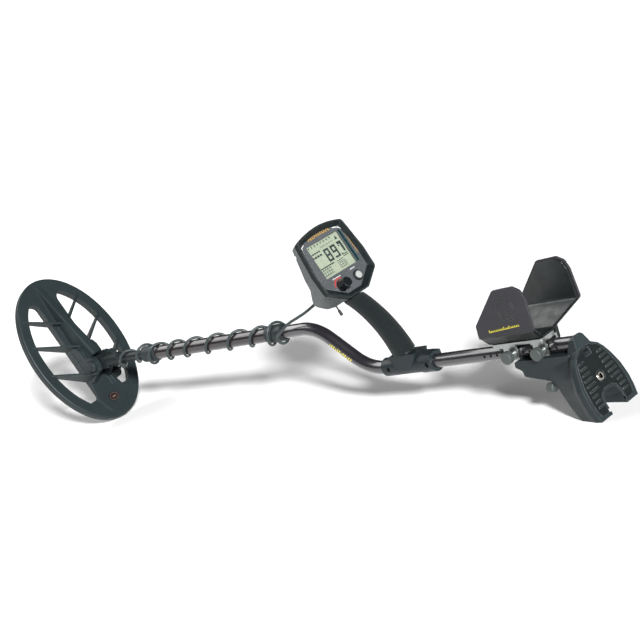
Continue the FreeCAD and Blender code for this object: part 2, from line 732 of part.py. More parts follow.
def cuff_gusset():
    section = [V(12, 14.3, -15), V(12, 19.5, -13.5), V(12, 22.0, 3.7), V(12, 15.2, -0.4), V(12, 15.2, -8.4),
               V(12, 14.3, -8.4)]
    return Part.Face(closed_wire(section)).extrude(V(31, 0, 0))


def thumb_knob(x):
    zc = ARM_TUBE_Z
    knob = turned_y([(-10.2, 0), (-10.2, 2.44), (-17.3, 2.44), (-17.3, 6.4), (-18.6, 7.6), (-19.4, 8.6),
                     (-27.0, 8.8),
                     (-28.0, 7.8), (-28.4, 0)], x, zc)
    tools = []
    for i in range(24):
        a = math.radians(15 * i)
        tools.append(rod_y(-33, -19.8, 0.6, x + 8.9 * math.cos(a), zc + 8.9 * math.sin(a)))
    return cut_all(knob, tools)


# ---------------------------------------------------------------- battery housing (STAND frame)
REAR_OUTLINE = [(6, 103.4), (10.5, 100), (15, 86), (19.5, 83), (26, 79), (32, 71), (38, 59), (44, 41),
                (46, 22), (45, 8),
                (41, -9), (17, -9), (17, 10), (14, 19), (8, 23)]
BAND_OUTLINE = [(6, 103.4), (10.5, 100), (14.8, 86), (17.6, 83), (19.5, 79), (24.5, 71), (31.5, 59),
                (38.5, 41),
                (41.5, 22), (41.5, 8), (38, -9), (17, -9), (17, 10), (14, 19), (8, 23)]
FRONT_OUTLINE = [(6, 103.4), (10.5, 100), (14.5, 86), (16.5, 83), (18, 79), (18.6, 71), (19.2, 59),
                 (22, 41), (26, 22),
                 (28.5, 8), (28, -9), (17, -9), (17, 10), (14, 19), (8, 23)]
DOOR_OUTLINE = [(10, 85), (15, 81), (22, 79), (27, 73), (33, 58), (38, 41), (39.5, 22), (38.5, 8), (35, -1.4),
                (20, -1.4), (20, 12), (16.5, 22), (9, 26.5)]
DOOR_Z0, DOOR_Z1 = -3.4, -0.2
DOOR_AXIS = (0.2, -1.8)
JACK_Y = 42.0
CELL_X, CELL_Z = 16.2, (-12.0, -27.0)


def symmetric(points, z):
    right = [V(x, y, z) for x, y in points]
    left = [V(-x, y, z) for x, y in reversed(points)]
    return closed_wire(right + left)


def housing_body():
    rear = Part.Face(symmetric(REAR_OUTLINE, -9.0)).extrude(V(0, 0, 9.0))
    band = Part.makeLoft([symmetric(BAND_OUTLINE, -19.0), symmetric(REAR_OUTLINE, -9.0)], True, True)
    front = Part.makeLoft([symmetric(FRONT_OUTLINE, -66.0), symmetric(BAND_OUTLINE, -19.0)], True, True)
    side = prism_y([(1085, 114), (1075, 82), (1040, 77), (1038, 47), (1051, 38), (1062, 24), (1084, FLOOR_Z),
                    (1130, FLOOR_Z), (1130, 20), (1100, 114)], -60, 60)
    main = placed(fuse_all([rear, band, front]), STAND).common(side)
    nose = prism_y([(987, 76.0), (984.5, 68), (995, 63), (996.5, 54.5), (1038, 47), (1062, 40), (1080, 60),
                    (1080, 82)],
                   -18.6, 18.6)
    nose = nose.makeFillet(3.0, edges_along(nose, V(0, 1, 0), lambda p: p.x < 1030))
    return fuse_all([main, nose])


def battery_housing():
    body = housing_body()
    bore = placed(rod_x(920, REAR_X1 + 0.5, ROD_R + 0.03, 0, -REAR_DROP), POLE)
    opening = Part.Face(symmetric(DOOR_OUTLINE, DOOR_Z0 - 0.1)).makeOffset2D(0.4, 2)
    recess = opening.extrude(V(0, 0, 8))
    pocket = box(-24.4, 24.4, 19.5, 72.6, -35.5, 1).common(prism_z([(-24.4, 19), (24.4, 19), (24.4, 66),
                                                                    (20.5, 73),
                                                                    (-20.5, 73), (-24.4, 66)], -36, 1))
    arch_wall = box(-18, 18, 10, 29.5, -36, 1)
    strip = box(-8.2, 8.2, 18, 74, -6.2, DOOR_Z0 - 0.1)
    pocket = pocket.cut(arch_wall).cut(strip)
    nose_hollow = prism_y([(1000, 70), (1000, 60), (1038, 51), (1052, 60), (1060, 72), (1040, 73)], -15, 15)
    stand_tools = [recess, pocket, rod_z(-10, 1, 4.9, 0, JACK_Y)]
    stand_tools.append(rod_x(-41.2, 41.2, 1.25, DOOR_AXIS[0], DOOR_AXIS[1]))
    stand_tools.append(rod_x(-36.9, 36.9, 2.7, DOOR_AXIS[0], DOOR_AXIS[1]))
    tools = [bore, nose_hollow, rod_x(1030, 1068, 3.05, -18, 38)]
    tools += [placed(tool, STAND) for tool in stand_tools]
    return cut_all(body, tools)


def battery_door():
    plate = Part.Face(symmetric(DOOR_OUTLINE, DOOR_Z0)).extrude(V(0, 0, DOOR_Z1 - DOOR_Z0))
    ribs = []
    for i in range(9):
        y = 10.5 + 7.4 * i
        reach = 33.5 if y < 45 else 33.5 - (y - 45) * 0.32
        inner = 22.5 if y < 28 else 15.0
        for side in (-1, 1):
            x0, x1 = sorted((side * inner, side * reach))
            ribs.append(box(x0, x1, y - 1.1, y + 1.1, DOOR_Z1 - 0.5, DOOR_Z1 + 0.9))
    pins = [rod_x(33, 41.0, 1.15, DOOR_AXIS[0], DOOR_AXIS[1]),
            rod_x(-41.0, -33, 1.15, DOOR_AXIS[0], DOOR_AXIS[1])]
    body = fuse_all([plate] + ribs + pins)
    tools = [rod_z(-5, 2, 7.6, 0, JACK_Y), box(-6.6, 6.6, 72.6, 82.6, -2.0, 2)]
    return cut_all(body, tools)


def door_latch():
    body = box(-6.4, 6.4, 73.0, 79.2, -1.95, -0.9)
    grip = box(-4.6, 4.6, 73.8, 78.4, -1.5, 0.6)
    return fuse_all([body, grip])


def headphone_jack():
    barrel = turned_z([(-6.4, 0), (-6.4, 4.8), (-3.3, 4.8), (-3.3, 6.4), (-1.6, 6.4), (-1.0, 5.6),
                       (-0.3, 5.6), (-0.3, 0)])
    body = box(-7.4, 7.4, -7.4, 7.4, -30, -6.35)
    jack = fuse_all([barrel, body]).cut(rod_z(-28, 1, 3.25))
    return jack.translated(V(0, JACK_Y, 0))


def batteries():
    cells = []
    for x in (-CELL_X, CELL_X):
        for z in CELL_Z:
            cell = Part.makeCylinder(7.1, 36.5, V(x, 31.6, z), V(0, 1, 0))
            tip = Part.makeCylinder(2.7, 1.4, V(x, 68.1, z), V(0, 1, 0))
            cells.append(cell.fuse(tip))
    return Part.makeCompound(cells)


def battery_contacts():
    plates = []
    for side in (-1, 1):
        x0, x1 = sorted((side * 9.2, side * 19.4))
        plates.append(box(x0, x1, 70.9, 71.6, -33, -6))
        x0, x1 = sorted((side * 9.2, side * 23.4))
        plates.append(box(x0, x1, 30.2, 30.9, -33, -6))
    return Part.makeCompound(plates)


def stand_screw():
    profile = [(1030, 0), (1030, 5.8), (1031, 6.5), (1040, 6.5), (1041, 5.6), (1041, 3.0), (1066, 3.0),
               (1066, 0)]
    face = Part.Face(closed_wire([V(x, -18, 38 + r) for x, r in profile]))
    screw = face.revolve(V(0, -18, 38), V(1, 0, 0), 360)
    tools = []
    for i in range(16):
        a = math.radians(22.5 * i)
        tools.append(rod_x(1031, 1040.2, 0.6, -18 + 6.8 * math.cos(a), 38 + 6.8 * math.sin(a)))
    return cut_all(screw, tools)


# ---------------------------------------------------------------- coil cable
TURNS = [(64.0, -0.25), (71.0, 0), (122.0, 1), (161.0, 2), (209.0, 3), (253, 4), (310, 5), (366, 6),
         (421, 7), (468, 8),
         (488.0, 9)]
WRAP_R = [(64, 14.9), (69, 13.2), (75, 10.9), (114, 10.9), (124, 13.4), (134, 16.0), (150, 17.1), (166, 17.1),
          (174, 14.0), (443, 13.8), (452, 16.0), (462, 17.0), (482, 16.8), (490, 16.0)]


def table(points, x):
    for (x0, y0), (x1, y1) in zip(points[:-1], points[1:]):
        if x <= x1:
            return y0 + (y1 - y0) * (x - x0) / (x1 - x0)
    return points[-1][1]


def wrap_points(x0, x1, per_turn=14):
    """Cable centres wound on the poles between two axial positions; whole turns face the left side."""
    turns = [(b, a) for a, b in TURNS]
    t0, t1 = table(TURNS, x0), table(TURNS, x1)
    count = max(2, int(round((t1 - t0) * per_turn)))
    points = []
    for i in range(count + 1):
        turn = t0 + (t1 - t0) * i / count
        x = table(turns, turn)
        r = table(WRAP_R, x)
        a = 2 * math.pi * turn
        points.append(POLE.multVec(V(x, -r * math.cos(a), r * math.sin(a))))
    return points


def smooth(points, steps):
    """Catmull-Rom run through the given points."""
    guard = [points[0] * 2 - points[1]] + points + [points[-1] * 2 - points[-2]]
    run = []
    for a, b, c, d in zip(guard[:-3], guard[1:-2], guard[2:-1], guard[3:]):
        for i in range(steps):
            t = i / steps
            run.append((b * 2 + (c - a) * t + (a * 2 - b * 5 + c * 4 - d) * t * t
                        + (b * 3 - a - c * 3 + d) * t ** 3) * 0.5)
    run.append(points[-1])
    return run


def spaced(points, gap):
    """The same run without points that crowd the one before; both ends stay."""
    kept = [points[0]]
    for point in points[1:-1]:
        if point.distanceToPoint(kept[-1]) > gap and point.distanceToPoint(points[-1]) > gap:
            kept.append(point)
    return kept + [points[-1]]


def cable(points, corner=1, gap=4.6):
    """Round cable through the points; corner 1 is mitred and 2 is rounded."""
    points = spaced(points, gap)
    wire = Part.makePolygon(points)
    circle = Part.Wire([Part.Circle(points[0], points[1].sub(points[0]), CABLE_R).toShape()])
    return wire.makePipeShell([circle], True, False, corner)


def coil_lead():
    gland = [COIL.multVec(V(GLAND_C.x, GLAND_C.y, z)) for z in (8.0, 20.0, 30.0)]
    wrap = wrap_points(64.0, 70.6)
    free = smooth([gland[1], gland[2], V(86, 25, 90), V(103, 13, 91.5), wrap[0], wrap[2]], 4)
    return cable([gland[0]] + free[:-5] + wrap)


def stem_wrap():
    return cable(wrap_points(71.4, 149.0))


def rod_wrap():
    return cable(wrap_points(149.8, 467.6))


def pod_lead():
    plug = [POD.multVec(V(0, -16, z)) for z in (-98.0, -84.0)]
    wrap = wrap_points(468.4, 488.0)
    free = smooth([wrap[-2], wrap[-1], V(560.5, -16.5, 144.0), V(575, -14.5, 152.5), V(592, -10, 158.0),
                   V(608, -5.5, 163.3), plug[0], plug[1]], 4)
    return cable(wrap[:-2] + free, 2, 6.0)


# ---------------------------------------------------------------- write every node
def main():
    save("coil_shell", coil_shell(), COIL)
    save("coil_cover", coil_cover(), COIL)
    save("transmit_winding", winding(1, 0.3, 4.1), COIL)
    save("receive_winding", winding(-1, -4.2, -0.4), COIL)
    save("coil_emblem", emblem_prism(9.0, 10.2, 0.0), COIL)
    save("coil_gland", coil_gland(), COIL)
    save("pivot_bolt", pivot_bolt(), COIL)
    save("pivot_nut", pivot_nut(), COIL)
    save("pivot_washers", pivot_washers(), COIL)

    save("stem_tip", stem_tip(), POLE)
    save("lower_stem", lower_stem(), POLE)
    save("stem_plug", stem_plug(), POLE)
    save("lower_collet", lower_collet(), POLE)
    save("lower_lock_nut", lower_nut(), POLE)
    save("mid_tube", mid_tube(), POLE)
    save("upper_collet", upper_collet(), POLE)
    save("upper_lock_nut", upper_nut(), POLE)
    save("s_rod", s_rod(), POLE)
    save("rod_yoke", rod_yoke(), POLE)
    save("yoke_bolts", yoke_bolts(), POLE)
    save("yoke_nuts", yoke_nuts(), POLE)
    save("rear_tube", rear_tube(), POLE)

    save("handle_core", handle_core())
    save("handle_grip", handle_grip())

    save("pod_rear_shell", pod_rear_shell(), POD)
    save("pod_bezel", pod_bezel(), POD)
    save("face_plate", face_plate(), POD)
    save("lcd_window", lcd_window(), POD)
    save("lcd_module", lcd_module(), POD)
    save("circuit_board", circuit_board(), POD)
    save("potentiometer", potentiometer(), POD)
    save("pod_speaker", pod_speaker(), POD)
    save("settings_knob", settings_knob(), POD)
    save("menu_button", menu_button(), POD)
    save("button_ring", button_ring(), POD)
    save("menu_switch", menu_switch(), POD)
    save("trigger_lever", trigger_lever(), POD)
    save("trigger_switch", trigger_switch(), POD)
    save("pod_screws", pod_screws(), POD)
    save("coil_socket", coil_socket(), POD)
    save("coil_plug", coil_plug(), POD)

    save("cuff", cuff(), ARM)
    save("cuff_liner", cuff_liner(), ARM)
    save("cuff_bracket", cuff_bracket(), ARM)
    save("cuff_screws", cuff_screws(), ARM)
    save("cuff_gusset", cuff_gusset(), ARM)
    save("front_thumb_knob", thumb_knob(KNOB_X[0]), ARM)
    save("rear_thumb_knob", thumb_knob(KNOB_X[1]), ARM)

    save("battery_housing", battery_housing())
    save("battery_door", battery_door(), STAND)
    save("door_latch", door_latch(), STAND)
    save("headphone_jack", headphone_jack(), STAND)
    save("batteries", batteries(), STAND)
    save("battery_contacts", battery_contacts(), STAND)
    save("stand_screw", stand_screw())

    save("cable_coil_lead", coil_lead())
    save("cable_stem_wrap", stem_wrap())
    save("cable_rod_wrap", rod_wrap())
    save("cable_pod_lead", pod_lead())


main()
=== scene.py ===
import json
import math

import bmesh
import bpy
from mathutils import Matrix, Vector
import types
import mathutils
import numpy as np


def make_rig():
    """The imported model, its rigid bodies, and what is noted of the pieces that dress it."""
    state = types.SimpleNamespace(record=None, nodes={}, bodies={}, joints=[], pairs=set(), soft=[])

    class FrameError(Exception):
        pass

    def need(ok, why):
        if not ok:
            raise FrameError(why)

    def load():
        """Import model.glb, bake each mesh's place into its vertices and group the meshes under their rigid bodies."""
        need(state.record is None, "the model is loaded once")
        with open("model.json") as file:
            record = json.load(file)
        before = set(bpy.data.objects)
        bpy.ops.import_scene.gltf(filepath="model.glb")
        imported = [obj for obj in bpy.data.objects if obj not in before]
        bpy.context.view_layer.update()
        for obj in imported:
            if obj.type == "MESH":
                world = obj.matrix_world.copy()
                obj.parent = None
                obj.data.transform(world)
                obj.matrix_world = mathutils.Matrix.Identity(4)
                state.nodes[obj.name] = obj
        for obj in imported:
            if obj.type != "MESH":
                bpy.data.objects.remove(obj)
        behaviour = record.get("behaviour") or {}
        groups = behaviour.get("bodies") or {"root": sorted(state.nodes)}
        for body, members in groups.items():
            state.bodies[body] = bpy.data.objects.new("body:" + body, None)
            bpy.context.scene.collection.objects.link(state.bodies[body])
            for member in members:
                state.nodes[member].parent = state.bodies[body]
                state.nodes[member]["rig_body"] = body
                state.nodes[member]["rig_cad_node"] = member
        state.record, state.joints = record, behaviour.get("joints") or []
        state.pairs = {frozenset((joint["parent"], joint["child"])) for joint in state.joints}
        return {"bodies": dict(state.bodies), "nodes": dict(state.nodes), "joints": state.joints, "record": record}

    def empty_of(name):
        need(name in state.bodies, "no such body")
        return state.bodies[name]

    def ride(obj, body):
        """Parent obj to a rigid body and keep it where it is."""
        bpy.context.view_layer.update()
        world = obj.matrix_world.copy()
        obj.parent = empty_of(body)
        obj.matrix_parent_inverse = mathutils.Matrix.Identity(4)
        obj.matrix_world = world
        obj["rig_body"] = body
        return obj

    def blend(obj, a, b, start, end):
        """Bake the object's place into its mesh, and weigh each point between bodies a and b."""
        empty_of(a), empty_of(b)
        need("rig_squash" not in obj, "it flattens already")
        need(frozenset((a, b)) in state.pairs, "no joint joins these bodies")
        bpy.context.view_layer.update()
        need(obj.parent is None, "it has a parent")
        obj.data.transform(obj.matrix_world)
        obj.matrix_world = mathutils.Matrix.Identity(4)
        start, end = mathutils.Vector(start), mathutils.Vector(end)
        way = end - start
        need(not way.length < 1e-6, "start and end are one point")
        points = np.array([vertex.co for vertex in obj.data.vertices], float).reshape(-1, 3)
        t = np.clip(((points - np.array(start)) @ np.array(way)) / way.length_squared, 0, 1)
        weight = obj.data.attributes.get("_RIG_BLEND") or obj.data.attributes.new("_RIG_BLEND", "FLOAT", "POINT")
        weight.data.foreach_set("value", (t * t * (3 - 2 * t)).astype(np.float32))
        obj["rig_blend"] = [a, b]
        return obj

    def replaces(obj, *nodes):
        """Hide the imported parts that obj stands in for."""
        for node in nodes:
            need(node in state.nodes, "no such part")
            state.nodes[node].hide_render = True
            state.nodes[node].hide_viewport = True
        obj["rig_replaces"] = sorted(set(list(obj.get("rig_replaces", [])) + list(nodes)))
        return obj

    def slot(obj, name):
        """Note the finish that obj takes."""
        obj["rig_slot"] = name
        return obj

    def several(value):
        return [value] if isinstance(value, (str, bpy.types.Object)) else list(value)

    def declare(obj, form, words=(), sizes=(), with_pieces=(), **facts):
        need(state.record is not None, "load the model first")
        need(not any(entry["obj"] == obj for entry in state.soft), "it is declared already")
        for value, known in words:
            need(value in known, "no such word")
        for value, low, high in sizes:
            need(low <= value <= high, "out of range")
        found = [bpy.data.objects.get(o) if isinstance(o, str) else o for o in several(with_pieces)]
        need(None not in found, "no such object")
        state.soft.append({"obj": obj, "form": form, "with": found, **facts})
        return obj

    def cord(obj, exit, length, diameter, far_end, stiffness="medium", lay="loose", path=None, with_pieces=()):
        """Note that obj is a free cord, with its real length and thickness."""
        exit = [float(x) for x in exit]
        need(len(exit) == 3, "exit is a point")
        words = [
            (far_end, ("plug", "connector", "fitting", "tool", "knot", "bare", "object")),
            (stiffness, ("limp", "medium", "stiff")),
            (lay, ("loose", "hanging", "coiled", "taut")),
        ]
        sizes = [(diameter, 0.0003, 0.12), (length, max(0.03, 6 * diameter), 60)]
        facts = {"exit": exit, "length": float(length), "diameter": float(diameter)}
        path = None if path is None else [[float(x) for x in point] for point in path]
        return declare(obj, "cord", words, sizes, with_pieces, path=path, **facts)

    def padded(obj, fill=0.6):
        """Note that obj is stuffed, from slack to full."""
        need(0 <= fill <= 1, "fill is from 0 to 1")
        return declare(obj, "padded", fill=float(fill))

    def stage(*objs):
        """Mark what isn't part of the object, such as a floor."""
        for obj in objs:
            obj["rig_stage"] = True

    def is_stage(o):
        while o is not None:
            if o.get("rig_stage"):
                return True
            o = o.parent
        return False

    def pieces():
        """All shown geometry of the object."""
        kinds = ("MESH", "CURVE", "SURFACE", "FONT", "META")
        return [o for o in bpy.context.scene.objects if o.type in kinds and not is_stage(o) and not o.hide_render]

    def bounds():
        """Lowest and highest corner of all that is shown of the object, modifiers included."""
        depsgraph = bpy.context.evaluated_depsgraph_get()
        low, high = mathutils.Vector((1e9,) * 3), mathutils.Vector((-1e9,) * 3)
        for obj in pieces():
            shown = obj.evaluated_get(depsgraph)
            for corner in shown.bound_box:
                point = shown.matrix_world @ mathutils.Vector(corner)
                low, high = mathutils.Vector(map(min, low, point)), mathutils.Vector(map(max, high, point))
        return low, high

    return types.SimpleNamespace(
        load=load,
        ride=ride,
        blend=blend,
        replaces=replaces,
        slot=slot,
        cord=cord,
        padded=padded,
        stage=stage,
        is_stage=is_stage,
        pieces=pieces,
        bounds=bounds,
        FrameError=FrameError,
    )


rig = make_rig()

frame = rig.load()
cad_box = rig.bounds()
nodes = frame["nodes"]

# Layout shared with the CAD, in millimetres: stations run rearward from the coil's centre.
ORIGIN_X, FLOOR_Z = 528.25, -2.25
POLE_PITCH, COIL_PITCH, FACE_TILT = (math.radians(a) for a in (3.6, 66.4, 21.2))
PIVOT, COIL_CENTRE = (53.5, 0, 102.5), (0, 0, 128)
FACE_ORIGIN, ARM_ORIGIN = (713, 0, 223), (1000, 0, 104.5)
CABLE_R = 2.2


def at(x, y, z):
    """A station in millimetres as a point of the row frame in metres."""
    return Vector(((x - ORIGIN_X) / 1000, y / 1000, (z - FLOOR_Z) / 1000))


def local(origin, x_axis, y_axis, z_axis):
    """Function from a sub-part's own millimetres to the row frame."""
    start = at(*origin)
    axes = [Vector(a) for a in (x_axis, y_axis, z_axis)]

    def place(x, y, z):
        return start + (axes[0] * x + axes[1] * y + axes[2] * z) / 1000
    return place


def tilted(origin, pitch):
    """Frame of a part that climbs rearward by the pitch: X along it, Y to the user's right."""
    c, s = math.cos(pitch), math.sin(pitch)
    return local(origin, (c, 0, s), (0, 1, 0), (-s, 0, c))


def facing_rear(origin, tilt):
    """Frame of a face that looks rearward and tilts back: X to the user's right, Y up it, Z out of it."""
    c, s = math.cos(tilt), math.sin(tilt)
    return local(origin, (0, 1, 0), (-s, 0, c), (c, 0, s))


pole = tilted(PIVOT, POLE_PITCH)
arm = tilted(ARM_ORIGIN, POLE_PITCH)
coil = tilted(COIL_CENTRE, -COIL_PITCH)
pod = facing_rear(FACE_ORIGIN, FACE_TILT)


# ---------------------------------------------------------------- camera
CAMERA_RIGHT = (0.6786, 0.6539, -0.3356)
CAMERA_UP = (0.0502, 0.4144, 0.9092)
CAMERA_BACK = (0.7329, -0.6336, 0.2482)
CAMERA_PLACE = (1.96195, -1.6092, 0.78095)
SENSOR_MM, LENS_MM, FAR_CLIP = 36.0, 97.76, 100.0


def add_camera():
    data = bpy.data.cameras.new("camera")
    data.sensor_width = SENSOR_MM
    data.lens = LENS_MM
    data.clip_end = FAR_CLIP
    camera = bpy.data.objects.new("camera", data)
    pose = Matrix((CAMERA_RIGHT, CAMERA_UP, CAMERA_BACK)).transposed().to_4x4()
    pose.translation = CAMERA_PLACE
    camera.matrix_world = pose
    bpy.context.scene.collection.objects.link(camera)
    bpy.context.scene.camera = camera


# ---------------------------------------------------------------- materials
# Eased edges: radii in metres, samples, and how strongly the bend of an edge turns to its painted highlight.
METAL_EASE, TUBE_EASE, FILM_EASE, KNURL_EASE = 0.0004, 0.0005, 0.0005, 0.0006
BEVEL_SAMPLES = 6
EDGE_GAIN, MOULD_EDGE_GAIN = 1.5, 1.6

# Depths of surface texture, in metres.
FINE_DEPTH, SKIN_DEPTH, MATT_DEPTH, PORE_DEPTH, DENT_DEPTH = 0.0001, 0.00012, 0.00015, 0.0003, 0.001

# Moulded plastic: size of the spark texture, and how far its tone drifts.
SPARK_SCALE, MOTTLE = 1500.0, 0.10


class Graph:
    """A material's node tree with short ways to add and join nodes."""

    def __init__(self, name):
        self.material = bpy.data.materials.new(name)
        self.material.use_nodes = True
        self.tree = self.material.node_tree
        self.shader = self.tree.nodes["Principled BSDF"]
        self.coords = self.tree.nodes.new("ShaderNodeTexCoord").outputs["Object"]

    def add(self, kind, **inputs):
        node = self.tree.nodes.new(kind)
        for key, value in inputs.items():
            self.put(node.inputs[key.replace("_", " ")], value)
        return node

    def put(self, socket, value):
        if isinstance(value, bpy.types.NodeSocket):
            self.tree.links.new(value, socket)
        else:
            socket.default_value = value

    def noise(self, scale, detail=2.0, roughness=0.5, stretch=None):
        vector = self.coords
        if stretch:
            mapping = self.add("ShaderNodeMapping", Vector=self.coords, Scale=stretch)
            vector = mapping.outputs[0]
        node = self.add("ShaderNodeTexNoise", Vector=vector, Scale=scale, Detail=detail,
                        Roughness=roughness)
        return node.outputs["Fac"]

    def spread(self, value, low, high, from_low=0.3, from_high=0.7):
        node = self.add("ShaderNodeMapRange", Value=value)
        limits = {"From Min": from_low, "From Max": from_high, "To Min": low, "To Max": high}
        for key, number in limits.items():
            node.inputs[key].default_value = number
        return node.outputs[0]

    def mix(self, factor, a, b):
        node = self.tree.nodes.new("ShaderNodeMix")
        node.data_type = "RGBA"
        for socket, value in ((node.inputs[0], factor), (node.inputs[6], a), (node.inputs[7], b)):
            self.put(socket, value)
        return node.outputs[2]

    def math(self, operation, a, b=0.0):
        node = self.tree.nodes.new("ShaderNodeMath")
        node.operation = operation
        self.put(node.inputs[0], a)
        self.put(node.inputs[1], b)
        return node.outputs[0]

    def ahead(self, origin, axis):
        """Distance in metres past a point, along a direction."""
        dot = self.tree.nodes.new("ShaderNodeVectorMath")
        dot.operation = "DOT_PRODUCT"
        self.put(dot.inputs[0], self.coords)
        self.put(dot.inputs[1], tuple(axis))
        return self.math("SUBTRACT", dot.outputs["Value"], Vector(origin).dot(Vector(axis)))

    def edges(self, radius, gain=EDGE_GAIN):
        """1 along sharp edges and 0 on flat faces, with the eased normal."""
        bevel = self.tree.nodes.new("ShaderNodeBevel")
        bevel.samples = BEVEL_SAMPLES
        bevel.inputs["Radius"].default_value = radius
        geometry = self.tree.nodes.new("ShaderNodeNewGeometry")
        dot = self.tree.nodes.new("ShaderNodeVectorMath")
        dot.operation = "DOT_PRODUCT"
        self.put(dot.inputs[0], bevel.outputs[0])
        self.put(dot.inputs[1], geometry.outputs["Normal"])
        bent = self.math("SUBTRACT", 1.0, dot.outputs["Value"])
        factor = self.math("MULTIPLY", bent, gain)
        clamp = self.add("ShaderNodeClamp", Value=factor)
        return clamp.outputs[0], bevel.outputs[0]

    def bump(self, height, strength, distance, normal=None):
        node = self.add("ShaderNodeBump", Height=height, Strength=strength, Distance=distance)
        if normal is not None:
            self.put(node.inputs["Normal"], normal)
        return node.outputs[0]

    def finish(self, color, roughness, normal, metallic=0.0, **plain):
        self.put(self.shader.inputs["Base Color"], color)
        self.put(self.shader.inputs["Roughness"], roughness)
        self.put(self.shader.inputs["Normal"], normal)
        self.shader.inputs["Metallic"].default_value = metallic
        for key, value in plain.items():
            self.shader.inputs[key.replace("_", " ")].default_value = value
        return self.material


def tone(color, gain):
    return tuple(min(1.0, c * gain) for c in color[:3]) + (1.0,)


def moulded(name, color, rough=0.5, grain=0.25, edge=0.6, ease=0.0007, gloss=0.22,
            edge_highlight=None, fold=None, **plain):
    """Injection-moulded plastic: eased edges with a painted highlight, fine spark texture and slight tone drift.

    The colour of the painted highlight on the edges can be given; fold is a point, a direction and the colour of
    painted shade on the wall below that point.
    """
    g = Graph(name)
    drift = g.spread(g.noise(scale=11.0, detail=4.0), 0.0, 1.0)
    body = g.mix(drift, tone(color, 1 - MOTTLE), tone(color, 1 + MOTTLE))
    # Below the fold the colour turns to painted shade.
    if fold:
        origin, axis, shade_below_fold = fold
        past_fold = g.spread(g.ahead(origin, axis), 0.0, 1.0, from_low=0.0, from_high=0.0006)
        body = g.mix(past_fold, tone(shade_below_fold, 1.0), body)
    # Edges are lightened towards a painted highlight, broken up by noise.
    edge_factor, eased = g.edges(ease, MOULD_EDGE_GAIN)
    highlight_breakup = g.spread(g.noise(scale=220.0, detail=3.0), 0.25, 1.0, from_low=0.35, from_high=0.65)
    highlight_mask = g.math("MULTIPLY", g.math("MULTIPLY", edge_factor, highlight_breakup), edge)
    colour = g.mix(highlight_mask, body, tone(edge_highlight or tone(color, 2.4), 1.0))
    rough_value = g.spread(g.noise(scale=60.0, detail=4.0), rough - 0.06, rough + 0.06)
    normal = g.bump(g.noise(scale=SPARK_SCALE, detail=1.0), grain, SKIN_DEPTH, eased)
    return g.finish(colour, rough_value, normal, Specular_IOR_Level=gloss, **plain)


def coated(name, color, rough=0.3, coat=0.5, metallic=0.0, gloss=0.3):
    """Powder-coated or anodised tube: fine orange peel under a smooth top coat."""
    g = Graph(name)
    drift = g.spread(g.noise(scale=9.0, detail=3.0, stretch=(0.25, 1, 1)), 0.0, 1.0)
    body = g.mix(drift, tone(color, 0.9), tone(color, 1.12))
    flakes = g.spread(g.noise(scale=2600.0, detail=1.0), 0.0, 0.15, from_low=0.62, from_high=0.75)
    body = g.mix(flakes, body, tone(color, 3.0))
    edge_factor, eased = g.edges(TUBE_EASE)
    # Edges are lightened towards a painted highlight.
    colour = g.mix(g.math("MULTIPLY", edge_factor, 0.3), body, tone(color, 3.0))
    rough_value = g.spread(g.noise(scale=35.0, detail=5.0, roughness=0.6), rough - 0.04, rough + 0.05)
    normal = g.bump(g.noise(scale=420.0, detail=2.0), 0.08, SKIN_DEPTH, eased)
    return g.finish(colour, rough_value, normal, metallic, Coat_Weight=coat, Coat_Roughness=0.12,
                    Specular_IOR_Level=gloss)


def metal(name, color, rough=0.25, brush=(1, 40, 40)):
    """Brushed metal; brush stretches the grain along each axis."""
    g = Graph(name)
    grain = g.noise(scale=120.0, detail=3.0, stretch=brush)
    edge_factor, eased = g.edges(METAL_EASE)
    body = g.mix(g.spread(g.noise(scale=30.0, detail=4.0), 0, 1), tone(color, 0.86), tone(color, 1.05))
    # Edges are lightened towards a painted highlight.
    colour = g.mix(g.math("MULTIPLY", edge_factor, 0.5), body, tone(color, 1.4))
    rough_value = g.spread(grain, rough - 0.07, rough + 0.1)
    normal = g.bump(grain, 0.06, FINE_DEPTH, eased)
    return g.finish(colour, rough_value, normal, 1.0)


def rubber(name, color, rough=0.6, sheen=0.15, scale=900.0, grain=0.2, gloss=0.3):
    """Rubber or soft vinyl with a little pale dust."""
    g = Graph(name)
    body = g.mix(g.spread(g.noise(scale=24.0, detail=4.0), 0, 1), tone(color, 0.84), tone(color, 1.18))
    dust = g.spread(g.noise(scale=340.0, detail=3.0), 0.0, 0.3, from_low=0.55, from_high=0.75)
    body = g.mix(dust, body, tone(color, 1.7))
    rough_value = g.spread(g.noise(scale=80.0, detail=3.0), rough - 0.08, rough + 0.08)
    normal = g.bump(g.noise(scale=scale, detail=2.0), grain, MATT_DEPTH)
    return g.finish(body, rough_value, normal, Sheen_Weight=sheen, Sheen_Roughness=0.5,
                    Specular_IOR_Level=gloss)


def foam(name, color):
    """Closed-cell foam: fine open pores over slow dents."""
    g = Graph(name)
    pores = g.add("ShaderNodeTexVoronoi", Vector=g.coords, Scale=1150.0)
    height = g.spread(pores.outputs["Distance"], 0.0, 1.0, from_low=0.05, from_high=0.6)
    slow = g.noise(scale=45.0, detail=3.0)
    # The pores are darkened with painted shade; the slow drift after it is random tone.
    shade = g.mix(height, tone(color, 0.5), tone(color, 1.2))
    shade = g.mix(g.spread(slow, 0.0, 0.5), shade, tone(color, 0.8))
    normal = g.bump(height, 0.35, PORE_DEPTH)
    normal = g.bump(slow, 0.12, DENT_DEPTH, normal)
    rough_value = g.spread(slow, 0.78, 0.9)
    return g.finish(shade, rough_value, normal, Sheen_Weight=0.08, Sheen_Roughness=0.6,
                    Specular_IOR_Level=0.15)


